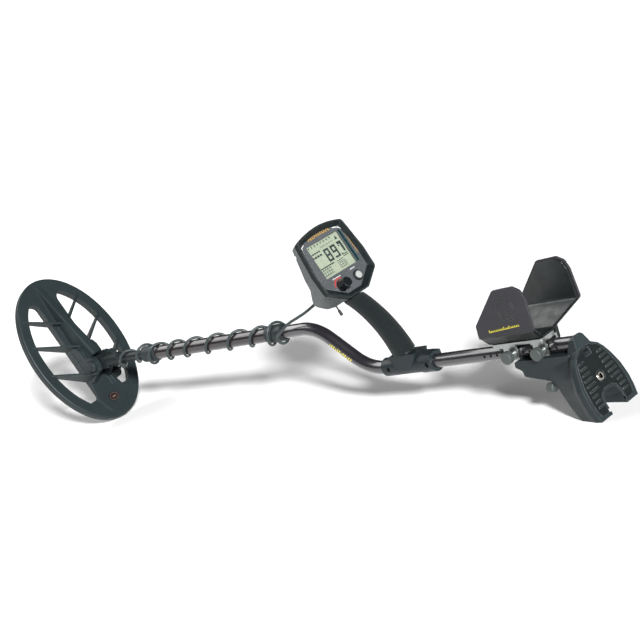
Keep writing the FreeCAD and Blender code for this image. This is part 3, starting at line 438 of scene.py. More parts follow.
def speckled(name, color, fleck):
    """Printed face film: charcoal with fine light specks."""
    g = Graph(name)
    cells = g.noise(scale=1500.0, detail=2.0, roughness=0.7)
    spots = g.spread(cells, 0.0, 1.0, from_low=0.52, from_high=0.68)
    colour = g.mix(spots, tone(color, 0.95), tone(fleck, 1.0))
    colour = g.mix(g.spread(g.noise(scale=12.0, detail=3.0), 0.0, 0.25), colour, tone(color, 0.7))
    edge_factor, eased = g.edges(FILM_EASE)
    # Edges are lightened towards a painted highlight.
    colour = g.mix(g.math("MULTIPLY", edge_factor, 0.5), colour, tone(fleck, 1.3))
    normal = g.bump(cells, 0.18, FINE_DEPTH, eased)
    return g.finish(colour, g.spread(g.noise(scale=50.0, detail=3.0), 0.42, 0.55), normal)


def knurled(name, color):
    """Diamond-knurled plastic head: two crossed wave patterns."""
    g = Graph(name)
    waves = []
    for turn in (0.785, -0.785):
        mapping = g.add("ShaderNodeMapping", Vector=g.coords, Rotation=(0, turn, 0))
        wave = g.add("ShaderNodeTexWave", Vector=mapping.outputs[0], Scale=900.0 / 6.2832)
        waves.append(wave.outputs["Fac"])
    height = g.math("MULTIPLY", waves[0], waves[1])
    drift = g.spread(g.noise(scale=90.0, detail=4.0), 0.0, 1.0)
    body = g.mix(drift, tone(color, 0.82), tone(color, 1.1))
    # The knurl's hollows are darkened with painted shade.
    hollows = g.spread(height, 0.45, 0.0, from_low=0.0, from_high=0.6)
    body = g.mix(hollows, body, tone(color, 0.45))
    edge_factor, eased = g.edges(KNURL_EASE)
    # Edges are lightened towards a painted highlight.
    colour = g.mix(g.math("MULTIPLY", edge_factor, 0.5), body, tone(color, 1.5))
    normal = g.bump(height, 0.5, PORE_DEPTH, eased)
    return g.finish(colour, g.spread(g.noise(scale=40.0), 0.42, 0.56), normal)


def printed(name, color, rough=0.5):
    """Ink or thin inlay with slight wear."""
    g = Graph(name)
    wear = g.spread(g.noise(scale=420.0, detail=4.0, roughness=0.7), 0.0, 0.35, from_low=0.5, from_high=0.75)
    colour = g.mix(wear, tone(color, 1.0), tone(color, 0.72))
    normal = g.bump(g.noise(scale=900.0, detail=2.0), 0.1, FINE_DEPTH)
    return g.finish(colour, g.spread(g.noise(scale=60.0), rough - 0.05, rough + 0.05), normal)


def lcd_glass(name):
    """Reflective LCD: pale yellow-green with a faint cell grain and a faint painted glow, though it has no light of
    its own.
    """
    g = Graph(name)
    drift = g.spread(g.noise(scale=24.0, detail=2.0), 0, 1)
    colour = g.mix(drift, (0.27, 0.305, 0.225, 1), (0.31, 0.345, 0.255, 1))
    fine = g.spread(g.noise(scale=2400.0, detail=1.0), 0.0, 0.25)
    colour = g.mix(fine, colour, (0.25, 0.285, 0.205, 1))
    # A faint painted glow, though the display is unlit.
    g.put(g.shader.inputs["Emission Color"], colour)
    g.shader.inputs["Emission Strength"].default_value = 0.1
    rough_value = g.spread(g.noise(scale=40.0), 0.25, 0.32)
    return g.finish(colour, rough_value, g.bump(g.noise(scale=700.0), 0.03, FINE_DEPTH))


def window(name):
    """Clear display window with a slight cool tint."""
    g = Graph(name)
    g.shader.inputs["Alpha"].default_value = 0.07
    colour = g.mix(g.spread(g.noise(scale=30.0), 0, 1), (0.10, 0.16, 0.16, 1), (0.13, 0.2, 0.2, 1))
    normal = g.bump(g.noise(scale=90.0), 0.02, FINE_DEPTH)
    return g.finish(colour, g.spread(g.noise(scale=60.0), 0.03, 0.07), normal, Coat_Weight=0.5)


# Where the arm cuff's wall turns under, in millimetres above the rear tube's axis, and the way up. Below it the cuff's
# wall takes a painted shade.
CUFF_FOLD = 23.4
ARM_UP = arm(0, 0, 1001) - arm(0, 0, 1)


def make_materials():
    # Edge colours given below are painted highlights, and the cuff's colour under its fold is painted shade.
    return {
        "coil_plastic": moulded("coil_plastic", (0.013, 0.019, 0.0205), rough=0.42, grain=0.3, edge=1.6),
        "copper": metal("copper", (0.72, 0.34, 0.18), rough=0.3),
        "emblem": moulded("emblem", (0.012, 0.010, 0.010), rough=0.2, grain=0.05),
        "black_plastic": moulded("black_plastic", (0.010, 0.013, 0.014), rough=0.42, grain=0.2),
        "stem_black": coated("stem_black", (0.007, 0.009, 0.010), rough=0.36, coat=0.1),
        "mid_brown": coated("mid_brown", (0.022, 0.018, 0.019), rough=0.30, coat=0.6, metallic=0.3),
        "rod_black": coated("rod_black", (0.010, 0.009, 0.012), rough=0.32, coat=1.0, gloss=0.7),
        "collar": moulded("collar", (0.016, 0.022, 0.024), rough=0.42, grain=0.35, edge=1.5),
        "yoke": moulded("yoke", (0.014, 0.020, 0.022), rough=0.38, grain=0.25, edge=1.5),
        "steel": metal("steel", (0.45, 0.45, 0.45), rough=0.28),
        "dark_metal": metal("dark_metal", (0.012, 0.012, 0.013), rough=0.45),
        "rubber_black": rubber("rubber_black", (0.007, 0.009, 0.010)),
        "foam": foam("foam", (0.004, 0.007, 0.0075)),
        "pod_shell": moulded("pod_shell", (0.036, 0.045, 0.047), rough=0.32, grain=0.16, edge=0.8, gloss=0.6),
        "pod_rim": moulded("pod_rim", (0.008, 0.011, 0.0115), rough=0.34, grain=0.14, edge=2.6, ease=0.0010,
                           gloss=0.12, edge_highlight=(0.15, 0.17, 0.17)),
        "face": speckled("face", (0.044, 0.049, 0.053), fleck=(0.17, 0.178, 0.188)),
        "lcd": window("lcd"),
        "lcd_module": lcd_glass("lcd_module"),
        "pcb": moulded("pcb", (0.02, 0.12, 0.05), rough=0.35, grain=0.1),
        "knob_gloss": moulded("knob_gloss", (0.006, 0.007, 0.008), rough=0.12, grain=0.03, ease=0.0008,
                              Coat_Weight=1.0),
        "button_silver": moulded("button_silver", (0.28, 0.285, 0.275), rough=0.25, grain=0.05, edge=0.2,
                                 ease=0.0008, gloss=0.5),
        "cuff": moulded("cuff", (0.025, 0.025, 0.029), rough=0.46, grain=0.3, edge=1.6, ease=0.0009,
                        edge_highlight=(0.10, 0.11, 0.10), fold=(arm(0, 0, CUFF_FOLD), ARM_UP, (0.004, 0.006, 0.0065))),
        "liner": rubber("liner", (0.005, 0.0075, 0.008), rough=0.36, sheen=0.0, scale=1300.0, grain=0.12,
                        gloss=0.5),
        "bracket": metal("bracket", (0.36, 0.38, 0.37), rough=0.30, brush=(1, 30, 1)),
        "thumb": knurled("thumb", (0.055, 0.068, 0.065)),
        "housing": moulded("housing", (0.016, 0.0225, 0.0245), rough=0.42, grain=0.35, edge=1.8, ease=0.0010,
                           edge_highlight=(0.075, 0.095, 0.10)),
        "door": moulded("door", (0.004, 0.0065, 0.007), rough=0.40, grain=0.3, edge=5.0, ease=0.0009,
                        edge_highlight=(0.13, 0.15, 0.15)),
        "chrome": metal("chrome", (0.86, 0.82, 0.74), rough=0.12),
        "cell": coated("cell", (0.08, 0.08, 0.09), rough=0.3),
        "cable": rubber("cable", (0.022, 0.031, 0.032), rough=0.40, sheen=0.05, scale=700.0, grain=0.08),
        "gold_ink": printed("gold_ink", (0.40, 0.22, 0.02)),
        "yellow_ink": printed("yellow_ink", (0.62, 0.54, 0.03)),
        "white_ink": printed("white_ink", (0.60, 0.62, 0.60)),
        "bronze_ink": printed("bronze_ink", (0.10, 0.055, 0.042)),
        "red_ink": printed("red_ink", (0.36, 0.025, 0.02)),
        # The strip beside the display is painted shade, printed like ink.
        "painted_recess_shade": printed("painted_recess_shade", (0.004, 0.022, 0.024), rough=0.3),
        "lcd_ink": printed("lcd_ink", (0.003, 0.004, 0.004)),
    }


# Nodes whose look differs from the finish their slot names.
# The yoke's bolts and nuts take a dark metal in place of steel.
FINISH = {"yoke_bolts": "dark_metal", "yoke_nuts": "dark_metal"}


def dress_nodes(materials):
    for row in frame["record"]["subparts"]:
        mesh = nodes[row["node"]].data
        mesh.materials.clear()
        mesh.materials.append(materials[FINISH.get(row["node"], row["material_slot"])])


# ---------------------------------------------------------------- mesh helpers
TUBE_SIDES = 16


def new_piece(name, mesh, material, body, slot, smooth=True):
    piece = bpy.data.objects.new(name, mesh)
    bpy.context.scene.collection.objects.link(piece)
    mesh.materials.clear()
    mesh.materials.append(material)
    mesh.polygons.foreach_set("use_smooth", [smooth] * len(mesh.polygons))
    if body:
        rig.ride(piece, body)
    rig.slot(piece, slot)
    return piece


def tube_mesh(name, path, radius):
    """Round tube whose rings turn with the path without twisting."""
    bm = bmesh.new()
    tangents = []
    for i in range(len(path)):
        a, b = path[max(0, i - 1)], path[min(len(path) - 1, i + 1)]
        tangents.append((b - a).normalized())
    side = tangents[0].orthogonal().normalized()
    rings = []
    for point, tangent in zip(path, tangents):
        side = (side - tangent * side.dot(tangent)).normalized()
        other = tangent.cross(side)
        ring = []
        for k in range(TUBE_SIDES):
            a = 2 * math.pi * k / TUBE_SIDES
            ring.append(bm.verts.new(point + (side * math.cos(a) + other * math.sin(a)) * radius))
        rings.append(ring)
    for first, second in zip(rings, rings[1:]):
        for k in range(TUBE_SIDES):
            n = (k + 1) % TUBE_SIDES
            bm.faces.new((first[k], first[n], second[n], second[k]))
    bm.faces.new(list(reversed(rings[0])))
    bm.faces.new(rings[-1])
    mesh = bpy.data.meshes.new(name)
    bm.to_mesh(mesh)
    bm.free()
    return mesh


# ---------------------------------------------------------------- coil cable
# Positions along the poles in millimetres, each with the number of turns wound up to there.
TURNS = [(64.0, -0.25), (71.0, 0), (122.0, 1), (161.0, 2), (209.0, 3), (253, 4), (310, 5), (366, 6),
         (421, 7), (468, 8), (488.0, 9)]
# Positions along the poles, each with the distance of the cable's centre from the poles' axis.
WRAP_R = [(64, 14.9), (69, 13.2), (75, 10.9), (114, 10.9), (124, 13.4), (134, 16.0), (150, 17.1),
          (166, 17.1), (174, 14.0), (443, 13.8), (452, 16.0), (462, 17.0), (482, 16.8), (490, 16.0)]
# The spline cuts inside its control points, so they stand this much further out.
CONTROL_SWELL = 1.019
POINTS_PER_TURN = 16
SPLINE_STEPS = 5

# Route from the coil's gland onto the pole, and from the last turn up to the plug under the pod.
WOUND_FROM, WOUND_TO = 64.0, 488.0
GLAND_ROUTE = [coil(69, 30, z) for z in (8, 20, 30)]
LEAD_ROUTE = [at(86, 25, 90), at(103, 13, 91.5)]
LIFT_ROUTE = [at(560.5, -16.5, 144), at(575, -14.5, 152.5), at(592, -10, 158), at(608, -5.5, 163.3)]
PLUG_ROUTE = [pod(0, -16, -98), pod(0, -16, -84)]

# Where the cable is cut into the four runs that follow different bodies.
SPLITS = (71.0, 149.4, 468.0)
RUN_NAMES = ("coil_lead", "stem_wrap", "rod_wrap", "pod_lead")


def table(points, x):
    """Value at x of the run of straight lines through the points."""
    for (x0, y0), (x1, y1) in zip(points[:-1], points[1:]):
        if x <= x1:
            return y0 + (y1 - y0) * (x - x0) / (x1 - x0)
    return points[-1][1]


def wound(x0, x1):
    """Cable centres wound on the poles between two positions along them."""
    positions = [(turn, x) for x, turn in TURNS]
    t0, t1 = table(TURNS, x0), table(TURNS, x1)
    count = max(2, int(round((t1 - t0) * POINTS_PER_TURN)))
    points = []
    for i in range(count + 1):
        turn = t0 + (t1 - t0) * i / count
        x = table(positions, turn)
        r = table(WRAP_R, x) * CONTROL_SWELL
        a = 2 * math.pi * turn
        points.append(pole(x, -r * math.cos(a), r * math.sin(a)))
    return points


def spline_line(points):
    """The smooth line of a NURBS spline that has the points as its control points."""
    curve = bpy.data.curves.new("route", "CURVE")
    curve.dimensions = "3D"
    curve.resolution_u = SPLINE_STEPS
    spline = curve.splines.new("NURBS")
    spline.points.add(len(points) - 1)
    for target, point in zip(spline.points, points):
        target.co = (*point, 1.0)
    spline.order_u = 3
    spline.use_endpoint_u = True
    carrier = bpy.data.objects.new("route", curve)
    mesh = bpy.data.meshes.new_from_object(carrier)
    line = [v.co.copy() for v in mesh.vertices]
    bpy.data.objects.remove(carrier)
    bpy.data.curves.remove(curve)
    bpy.data.meshes.remove(mesh)
    return line


def nearest(line, point):
    return min(range(len(line)), key=lambda i: (line[i] - point).length_squared)


def run_length(line):
    return sum((b - a).length for a, b in zip(line, line[1:]))


def add_cable(material):
    route = GLAND_ROUTE + LEAD_ROUTE + wound(WOUND_FROM, WOUND_TO) + LIFT_ROUTE + PLUG_ROUTE
    line = spline_line(route)
    cuts = [nearest(line, pole(x, -table(WRAP_R, x), 0)) for x in SPLITS]
    runs = [line[:cuts[0] + 1], line[cuts[0]:cuts[1] + 1], line[cuts[1]:cuts[2] + 1], line[cuts[2]:]]
    pieces = []
    for name, run in zip(RUN_NAMES, runs):
        body = "mid_pole" if name == "rod_wrap" else None
        piece = new_piece(name + "_cable", tube_mesh(name, run, CABLE_R / 1000), material, body, "cable")
        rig.replaces(piece, "cable_" + name)
        pieces.append(piece)
    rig.blend(pieces[0], "search_coil", "lower_pole", GLAND_ROUTE[1], pole(66, 0, 0))
    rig.blend(pieces[1], "lower_pole", "mid_pole", pole(74, 0, 0), pole(146, 0, 0))
    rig.blend(pieces[3], "mid_pole", "frame", pole(494, 0, 0), pod(0, -16, -100))
    for piece, run in ((pieces[0], runs[0]), (pieces[3], runs[3])):
        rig.cord(piece, exit=tuple(run[0]), length=run_length(run), diameter=2 * CABLE_R / 1000,
                far_end="object", stiffness="medium", lay="taut", path=run)


# ---------------------------------------------------------------- soft pieces
GRIP_LOW, GRIP_MID, GRIP_TOP = at(776, 0, 87.5), at(758.7, 0, 130), at(716, 0, 178)
# Radii in metres: the CAD's plain foam, then the real grip at the heel of the hand, its waist and its top.
GRIP_CAD_R = 0.016
GRIP_HEEL_R, GRIP_WAIST_R, GRIP_NECK_R = 0.0176, 0.0157, 0.0142
# Points nearer the middle than this share of the CAD radius line the bore, and stay where they are.
BORE_SHARE = 0.6
# Size in metres of the even nets that the soft pieces are made of, and rounds of easing.
GRIP_VOXEL, GRIP_ROUNDS = 0.0011, 3
PAD_VOXEL, PAD_ROUNDS = 0.0009, 2


def circle_through(a, b, c):
    """Centre and radius of the circle through three points with Y = 0."""
    ab, ac = b - a, c - a
    cross = 2 * (ab.x * ac.z - ab.z * ac.x)
    x = (ac.z * ab.length_squared - ab.z * ac.length_squared) / cross
    z = (ab.x * ac.length_squared - ac.x * ab.length_squared) / cross
    offset = Vector((x, 0, z))
    return a + offset, offset.length


def remeshed(name, node, voxel):
    """Copy of a CAD node's mesh as an even net of small faces."""
    carrier = bpy.data.objects.new(name, nodes[node].data.copy())
    bpy.context.scene.collection.objects.link(carrier)
    remesh = carrier.modifiers.new("remesh", "REMESH")
    remesh.mode = "VOXEL"
    remesh.voxel_size = voxel
    bpy.context.view_layer.update()
    mesh = bpy.data.meshes.new_from_object(carrier.evaluated_get(bpy.context.evaluated_depsgraph_get()))
    bpy.data.objects.remove(carrier)
    return mesh


def relaxed(mesh, rounds):
    """Ease the net's steps without moving it as a whole."""
    bm = bmesh.new()
    bm.from_mesh(mesh)
    for _ in range(rounds):
        bmesh.ops.smooth_vert(bm, verts=bm.verts, factor=0.5, use_axis_x=True, use_axis_y=True,
                              use_axis_z=True)
    bm.to_mesh(mesh)
    bm.free()


def grip_radius(share):
    """Outer radius of the foam from its low end (0) to its high end (1)."""
    bow = 4 * share * (1 - share)
    straight = GRIP_HEEL_R + (GRIP_NECK_R - GRIP_HEEL_R) * share
    return straight + (GRIP_WAIST_R - (GRIP_HEEL_R + GRIP_NECK_R) / 2) * bow


def add_grip(material):
    mesh = remeshed("foam_grip", "handle_grip", GRIP_VOXEL)
    relaxed(mesh, GRIP_ROUNDS)
    centre, radius = circle_through(GRIP_LOW, GRIP_MID, GRIP_TOP)
    start, end = GRIP_LOW - centre, GRIP_TOP - centre
    sweep = start.angle(end)
    for vertex in mesh.vertices:
        away = vertex.co - centre
        flat = Vector((away.x, 0, away.z))
        side = 1 if start.cross(flat).dot(start.cross(end)) > 0 else -1
        share = start.angle(flat) / sweep * side
        middle = centre + flat.normalized() * radius
        spoke = vertex.co - middle
        if spoke.length > BORE_SHARE * GRIP_CAD_R:
            vertex.co = middle + spoke * (grip_radius(min(1.0, max(0.0, share))) / GRIP_CAD_R)
    piece = new_piece("foam_grip", mesh, material, "frame", "foam")
    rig.replaces(piece, "handle_grip")
    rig.padded(piece, 1.0)


def add_liner(material):
    mesh = remeshed("cuff_pad", "cuff_liner", PAD_VOXEL)
    relaxed(mesh, PAD_ROUNDS)
    piece = new_piece("cuff_pad", mesh, material, "armrest", "liner")
    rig.replaces(piece, "cuff_liner")
    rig.padded(piece, 1.0)


# ---------------------------------------------------------------- prints and display
def slabs(name, outlines, low, high, place, material, body, slot):
    """Thin flat shapes, each an outline extruded between two heights of one sub-part's frame."""
    bm = bmesh.new()
    for outline in outlines:
        floor = [bm.verts.new(place(x, y, low)) for x, y in outline]
        roof = [bm.verts.new(place(x, y, high)) for x, y in outline]
        bm.faces.new(list(reversed(floor)))
        bm.faces.new(roof)
        count = len(outline)
        for i in range(count):
            j = (i + 1) % count
            bm.faces.new((floor[i], floor[j], roof[j], roof[i]))
    bmesh.ops.recalc_face_normals(bm, faces=bm.faces)
    mesh = bpy.data.meshes.new(name)
    bm.to_mesh(mesh)
    bm.free()
    return new_piece(name, mesh, material, body, slot, smooth=False)


def stroke(points, width):
    """Quads along a run of points, mitred at the joints."""
    sides = []
    for i, (x, y) in enumerate(points):
        ax, ay = points[max(0, i - 1)]
        bx, by = points[min(len(points) - 1, i + 1)]
        run = math.hypot(bx - ax, by - ay)
        nx, ny = -(by - ay) / run * width / 2, (bx - ax) / run * width / 2
        sides.append(((x + nx, y + ny), (x - nx, y - ny)))
    return [[a[0], a[1], b[1], b[0]] for a, b in zip(sides, sides[1:])]


def bar(x0, x1, y0, y1, slant=0.0):
    return [(x0, y0), (x1, y0), (x1 + slant, y1), (x0 + slant, y1)]


def arc_points(x, y, r, start, end, count):
    angles = [math.radians(start + (end - start) * i / count) for i in range(count + 1)]
    return [(x + r * math.cos(a), y + r * math.sin(a)) for a in angles]


def marks(lefts, width, low, high, slant=0.0):
    """Equal bars, one from each left edge."""
    return [bar(x, x + width, low, high, slant) for x in lefts]


def steps(start, pitch, count):
    """Evenly spaced positions from a first one."""
    return [start + pitch * i for i in range(count)]


def face_arch(x):
    """Height of the bowed band above the display at x."""
    return 55.4 + 3.6 * (1 - (x / 42) ** 2)


# Depths of the ink on the face, bottom and top, measured from the face's origin.
FACE_INK = (-2.6, -2.5)
# Gold band over the display: first mark, pitch, number of marks and their height.
BAND_START, BAND_PITCH, BAND_STROKES, BAND_TALL = -22.5, 4.2, 11, 3.6
# Small white dashes over the dial and the button: bottom and top; and the red scale round the dial.
CAPTION_LOW, CAPTION_HIGH = -5.9, -4.6
DIAL_CENTRE, DIAL_SCALE_R, DIAL_SCALE_FROM, DIAL_SCALE_TO = (-16, -19), 12.0, 168, 62


def add_face_prints(materials):
    low, high = FACE_INK
    band = []
    for i, x in enumerate(steps(BAND_START, BAND_PITCH, BAND_STROKES)):
        foot, top = face_arch(x), face_arch(x) + BAND_TALL
        crossbar = (foot, foot + 1.0) if i % 3 else (top - 1.0, top)
        band.append(bar(x, x + 1.3, foot, top, 0.9))
        band.append(bar(x + 0.4, x + 3.0, *crossbar, 0.3))
    slabs("face_gold_band", band, low, high, pod, materials["gold_ink"], "frame", "face")
    edge = stroke([(42.2, 50), (43.2, 38), (43.8, 24), (43.9, 10)], 0.7)
    slabs("face_gold_edge", edge, low, high, pod, materials["gold_ink"], "frame", "face")
    lines = stroke([(-42.4, 45.5), (-41.6, 52), (-39.6, 55.4), (-34.5, 57.6)], 1.0)
    lines += stroke([(28.5, 59.0), (34.5, 57.4), (39.4, 54.8), (41.6, 51.4)], 1.0)
    lines += marks(steps(-25, 1.9, 9), 1.1, CAPTION_LOW, CAPTION_HIGH, 0.2)
    lines += marks(steps(13, 2.0, 5), 1.2, CAPTION_LOW, CAPTION_HIGH, 0.2)
    slabs("face_white_lines", lines, low, high, pod, materials["white_ink"], "frame", "face")
    scale = stroke(arc_points(*DIAL_CENTRE, DIAL_SCALE_R, DIAL_SCALE_FROM, DIAL_SCALE_TO, 14), 1.9)
    slabs("dial_red_scale", scale, low, high, pod, materials["red_ink"], "frame", "face")
    # A dark strip right of the display is painted shade standing in for the display recess's shaded wall.
    strip = [bar(34.2, 38.6, -0.5, 52.5)]
    slabs("face_side_strip", strip, low, high, pod, materials["painted_recess_shade"], "frame", "face")


# Segments lit in each digit, lettered in the usual order round a seven-segment display.
SEGMENTS = {"8": "abcdefg", "9": "abcdfg"}


def digit(mark, x, y, width, height, thick):
    """Bars of one seven-segment digit with its lower left corner at (x, y)."""
    half = height / 2
    gap = 0.25
    places = {
        "a": (x + gap, x + width - gap, y + height - thick, y + height),
        "g": (x + gap, x + width - gap, y + half - thick / 2, y + half + thick / 2),
        "d": (x + gap, x + width - gap, y, y + thick),
        "f": (x, x + thick, y + half + gap, y + height - gap),
        "b": (x + width - thick, x + width, y + half + gap, y + height - gap),
        "e": (x, x + thick, y + gap, y + half - gap),
        "c": (x + width - thick, x + width, y + gap, y + half - gap),
    }
    return [bar(*places[key]) for key in SEGMENTS[mark]]

# Display marks in the face's own millimetres.
LCD_INK = (-6.79, -6.72)
DIGIT_LOW, DIGIT_WIDTH, DIGIT_HEIGHT, DIGIT_THICK = 18.5, 10.5, 20.0, 3.0
DIGIT_LEFTS = {"8": -6.5, "9": 7.5}
# Rows of equal bars: left edges, width, bottom and top.
LCD_ROWS = [
    ((-32, -27.6, -23.2, -18.8, -14.4), 3.4, 38.4, 40.6),
    ((-32, -26.6, -21.2, -15.8), 4.4, 32.6, 35.4),
    (steps(-32, 3.6, 9), 3.0, 14.4, 16.4),
    (steps(-8, 2.6, 11), 1.2, 42.6, 44.0),
]
LCD_ROWS += [((-31, -27, -22.5, -18, -13.5), 2.0, y + 1.2, y + 2.4) for y in (11.2, 7.2, 3.2)]
LCD_ROWS += [((7.2, 11.4, 15.4), 2.6, y, y + 1.3) for y in (9.2, 6.2, 3.2)]
# Single bars: left, right, bottom and top. The block beside the digits comes first, then rules and a box.
LCD_BARS = [(22.6, 31.0, 34.6, 38.8), (22.6, 25.0, 31.4, 33.6), (27.2, 31.0, 22.0, 34.6),
            (20.6, 22.6, 19.0, 21.6)]
LCD_BARS += [(-32, -9, y, y + 0.7) for y in (11.2, 7.2, 3.2)]
LCD_BARS += [(20.5, 31.5, y, y + 1.2) for y in (18.2, 15.6)]
LCD_BARS += [(5.0, 18.5, 14.2, 15.2), (5.0, 5.7, 2.6, 12.4), (5.0, 20, 11.8, 12.5), (19.4, 20, 2.6, 12.4)]


def add_display(materials):
    shapes = []
    for mark, left in DIGIT_LEFTS.items():
        shapes += digit(mark, left, DIGIT_LOW, DIGIT_WIDTH, DIGIT_HEIGHT, DIGIT_THICK)
    shapes += [[(x, 50.6), (x + 3.0, 50.6), (x + 1.5, 47.4)] for x in steps(-29, 6.4, 8)]
    shapes.append([(24.4, 42.5), (30.0, 42.5), (27.2, 48.6)])
    for row in LCD_ROWS:
        shapes += marks(*row)
    shapes += [bar(*edges) for edges in LCD_BARS]
    slabs("lcd_marks", shapes, *LCD_INK, pod, materials["lcd_ink"], "frame", "lcd_module")


# ---------------------------------------------------------------- decals on the rod, cuff and coil
# Rod's slanting stretch in the poles' millimetres: where it starts, where it ends, and its drop.
DIAGONAL_START, DIAGONAL_END, DIAGONAL_DROP = 560.6, 640.0, 75.8
# Hatch on it: its marks, their pitch and width, their distance from the axis, and their reach round the rod.
HATCH_MARKS, HATCH_START, HATCH_PITCH, HATCH_WIDTH = 12, 36.0, 3.7, 2.0
HATCH_R, HATCH_FROM, HATCH_SWEEP, HATCH_STEPS, HATCH_LEAN = 10.07, -34, 40, 4, 0.35


def on_diagonal(s, angle, r):
    """Point on the rod's slanting stretch, s along it from its upper corner.

    The angle is measured round the rod from its left side, and r from its axis.
    """
    top, end = pole(DIAGONAL_START, 0, 0), pole(DIAGONAL_END, 0, -DIAGONAL_DROP)
    along = (end - top).normalized()
    left = Vector((0, -1, 0))
    over = along.cross(left)
    if over.z < 0:
        over = -over
    return top + along * (s / 1000) + (left * math.cos(angle) + over * math.sin(angle)) * (r / 1000)


def add_rod_decal(material):
    """Generic slanted hatch printed along the rod."""
    bm = bmesh.new()
    for i, start in enumerate(steps(HATCH_START, HATCH_PITCH, HATCH_MARKS)):
        tall = 1.0 if i % 3 else 0.8
        rows = []
        for k in range(HATCH_STEPS + 1):
            turn = math.radians(HATCH_FROM + HATCH_SWEEP * tall * k / HATCH_STEPS)
            left = start + HATCH_LEAN * k
            rows.append([bm.verts.new(on_diagonal(s, turn, HATCH_R)) for s in (left, left + HATCH_WIDTH)])
        for low, high in zip(rows, rows[1:]):
            bm.faces.new((low[0], low[1], high[1], high[0]))
    mesh = bpy.data.meshes.new("rod_hatch")
    bm.to_mesh(mesh)
    bm.free()
    new_piece("rod_hatch", mesh, material, "frame", "rod_black")


# Lower fold and upper rim of the cuff's left wing, as (y, z) in the arm's own millimetres.
WING_FOLD, WING_RIM = (-53.5, 23.0), (-50.0, 92.0)
# Yellow marks: first left edge, pitch, number, rise per millimetre, and the indexes of the tall ones.
CUFF_MARK_START, CUFF_MARK_PITCH, CUFF_MARKS, CUFF_MARK_RISE = -4.0, 3.2, 17, 0.07
CUFF_TALL_MARKS = (0, 8, 11)
CUFF_MARK_Z, CUFF_INK = 29.5, (0.02, 0.12)
CUFF_RING_CENTRE, CUFF_RING_PROUD = (36, 57), (0.0, 0.35)


def wing(x, z, out):
    """Point on the outer face of the cuff's left wing, out millimetres proud of it."""
    share = (z - WING_FOLD[1]) / (WING_RIM[1] - WING_FOLD[1])
    y = WING_FOLD[0] + (WING_RIM[0] - WING_FOLD[0]) * share
    return arm(x, y - out, z)


def add_cuff_marks(materials):
    dashes = []
    for i, x in enumerate(steps(CUFF_MARK_START, CUFF_MARK_PITCH, CUFF_MARKS)):
        foot = CUFF_MARK_Z + CUFF_MARK_RISE * (x - CUFF_MARK_START)
        tall = 3.8 if i in CUFF_TALL_MARKS else 2.4
        dashes.append(bar(x, x + 1.0, foot, foot + tall, 0.9))
        dashes.append(bar(x + 0.4, x + 2.6, foot + 0.1, foot + 0.9))
    slabs("cuff_yellow_marks", dashes, *CUFF_INK, wing, materials["yellow_ink"], "armrest", "cuff")
    rings = stroke(arc_points(*CUFF_RING_CENTRE, 15.5, 0, 360, 40), 1.2)
    rings += stroke(arc_points(*CUFF_RING_CENTRE, 12.2, 0, 360, 40), 0.9)
    rings += [bar(34.4, 37.6, 49.0, 65.0)]
    slabs("cuff_embossed_ring", rings, *CUFF_RING_PROUD, wing, materials["cuff"], "armrest", "cuff")


# Emblem ring on the coil's heel: middle along the coil, half length, half width, and heights of the print.
EMBLEM_X, EMBLEM_HALF_LENGTH, EMBLEM_HALF_WIDTH, EMBLEM_INK = 104, 6.0, 8.4, (10.15, 10.35)


def add_emblem_ring(material):
    turn = [math.radians(10 * i) for i in range(37)]
    outline = [(EMBLEM_X + EMBLEM_HALF_LENGTH * math.cos(a), EMBLEM_HALF_WIDTH * math.sin(a)) for a in turn]
    shapes = stroke(outline, 0.6) + [bar(102.6, 105.4, -3.6, 3.6)]
    slabs("coil_emblem_ring", shapes, *EMBLEM_INK, coil, material, "search_coil", "emblem")


# ---------------------------------------------------------------- light
# Brightness of the room from the horizon, height 0, up to where it is dim.
SKY_FADE = {"From Min": 0.0, "From Max": 0.08, "To Min": 1.2, "To Max": 0.05}
# Floor: reflectance, half size in metres, strength of its glow, and where that starts and is full.
PAPER_WHITE, FLOOR_SIZE = 0.9, 30.0
GLOW, GLOW_FROM, GLOW_FULL = 0.5, 1.0, 2.8
# Point the soft box faces, and the sun's direction.
OBJECT_MIDDLE = (0, 0, 0.1)
KEY_TOWARD, KEY_STRENGTH, KEY_SPREAD = (0.80, -0.45, 0.42), 7.2, 7
SOFTBOX_PLACE, SOFTBOX_SIZE, SOFTBOX_POWER = (-4.4, -0.9, 3.9), (4.8, 3.2), 200


def studio_world():
    """Dim grey room whose walls brighten to white near the horizon, so the floor has no far edge."""
    world = bpy.data.worlds.new("studio")
    world.use_nodes = True
    tree = world.node_tree
    coords = tree.nodes.new("ShaderNodeTexCoord")
    split = tree.nodes.new("ShaderNodeSeparateXYZ")
    fade = tree.nodes.new("ShaderNodeMapRange")
    for key, number in SKY_FADE.items():
        fade.inputs[key].default_value = number
    tree.links.new(coords.outputs["Generated"], split.inputs[0])
    tree.links.new(split.outputs["Z"], fade.inputs["Value"])
    tree.links.new(fade.outputs[0], tree.nodes["Background"].inputs["Strength"])
    tree.nodes["Background"].inputs["Color"].default_value = (1, 1, 1, 1)
    return world


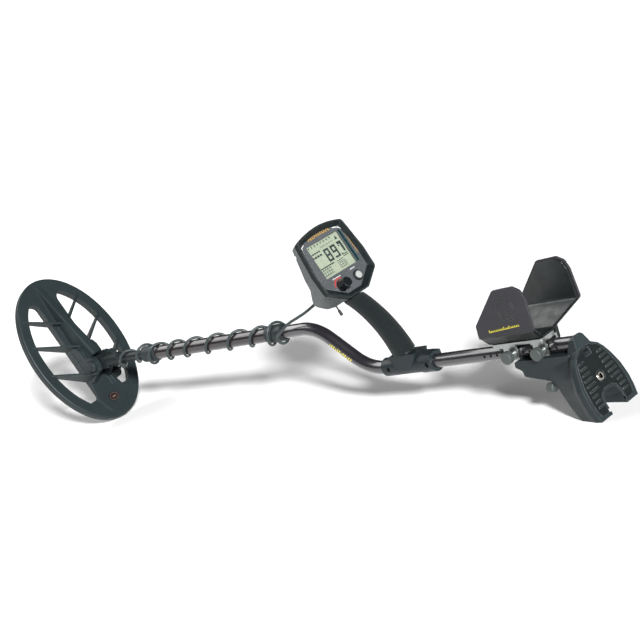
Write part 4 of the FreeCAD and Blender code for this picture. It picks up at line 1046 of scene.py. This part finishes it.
def floor_paper():
    """Matt white sweep that glows a little far from the object, where the lights fall off."""
    g = Graph("floor")
    distance = g.tree.nodes.new("ShaderNodeVectorMath")
    distance.operation = "LENGTH"
    g.put(distance.inputs[0], g.coords)
    glow = g.spread(distance.outputs["Value"], 0.0, GLOW, from_low=GLOW_FROM, from_high=GLOW_FULL)
    g.put(g.shader.inputs["Emission Strength"], glow)
    g.shader.inputs["Emission Color"].default_value = (1, 1, 1, 1)
    g.shader.inputs["Base Color"].default_value = (PAPER_WHITE, PAPER_WHITE, PAPER_WHITE, 1)
    g.shader.inputs["Roughness"].default_value = 1.0
    g.shader.inputs["Specular IOR Level"].default_value = 0.0
    return g.material


def add_stage():
    mesh = bpy.data.meshes.new("floor")
    s = FLOOR_SIZE
    mesh.from_pydata([(-s, -s, 0), (s, -s, 0), (s, s, 0), (-s, s, 0)], [], [(0, 1, 2, 3)])
    floor = bpy.data.objects.new("floor", mesh)
    bpy.context.scene.collection.objects.link(floor)
    mesh.materials.append(floor_paper())
    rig.stage(floor)
    bpy.context.scene.world = studio_world()


def aimed(location, target):
    """Rotation of a light at the location that shines at the target."""
    return (Vector(target) - Vector(location)).to_track_quat("-Z", "Y").to_euler()


def add_panel(name, location, size, power):
    """Soft box that faces the object."""
    data = bpy.data.lights.new(name, "AREA")
    data.shape = "RECTANGLE"
    data.size, data.size_y = size
    data.energy = power
    light = bpy.data.objects.new(name, data)
    light.location = location
    light.rotation_euler = aimed(location, OBJECT_MIDDLE)
    bpy.context.scene.collection.objects.link(light)


def add_sun(name, toward, strength, spread):
    """Even light over the whole floor; spread is how soft its shadows are, in degrees."""
    data = bpy.data.lights.new(name, "SUN")
    data.energy = strength
    data.angle = math.radians(spread)
    light = bpy.data.objects.new(name, data)
    light.rotation_euler = aimed(toward, (0, 0, 0))
    bpy.context.scene.collection.objects.link(light)


def add_lights():
    add_sun("key", KEY_TOWARD, KEY_STRENGTH, KEY_SPREAD)
    add_panel("softbox", SOFTBOX_PLACE, SOFTBOX_SIZE, SOFTBOX_POWER)


bpy.context.scene.view_settings.view_transform = "Standard"
add_camera()
materials = make_materials()
dress_nodes(materials)
add_cable(materials["cable"])
add_grip(materials["foam"])
add_liner(materials["liner"])
add_face_prints(materials)
add_display(materials)
add_rod_decal(materials["yellow_ink"])
add_cuff_marks(materials)
add_emblem_ring(materials["bronze_ink"])
add_stage()
add_lights()

json.dump({"cad": [list(c) for c in cad_box], "visual": [list(c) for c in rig.bounds()]}, open("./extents.json", "w"))
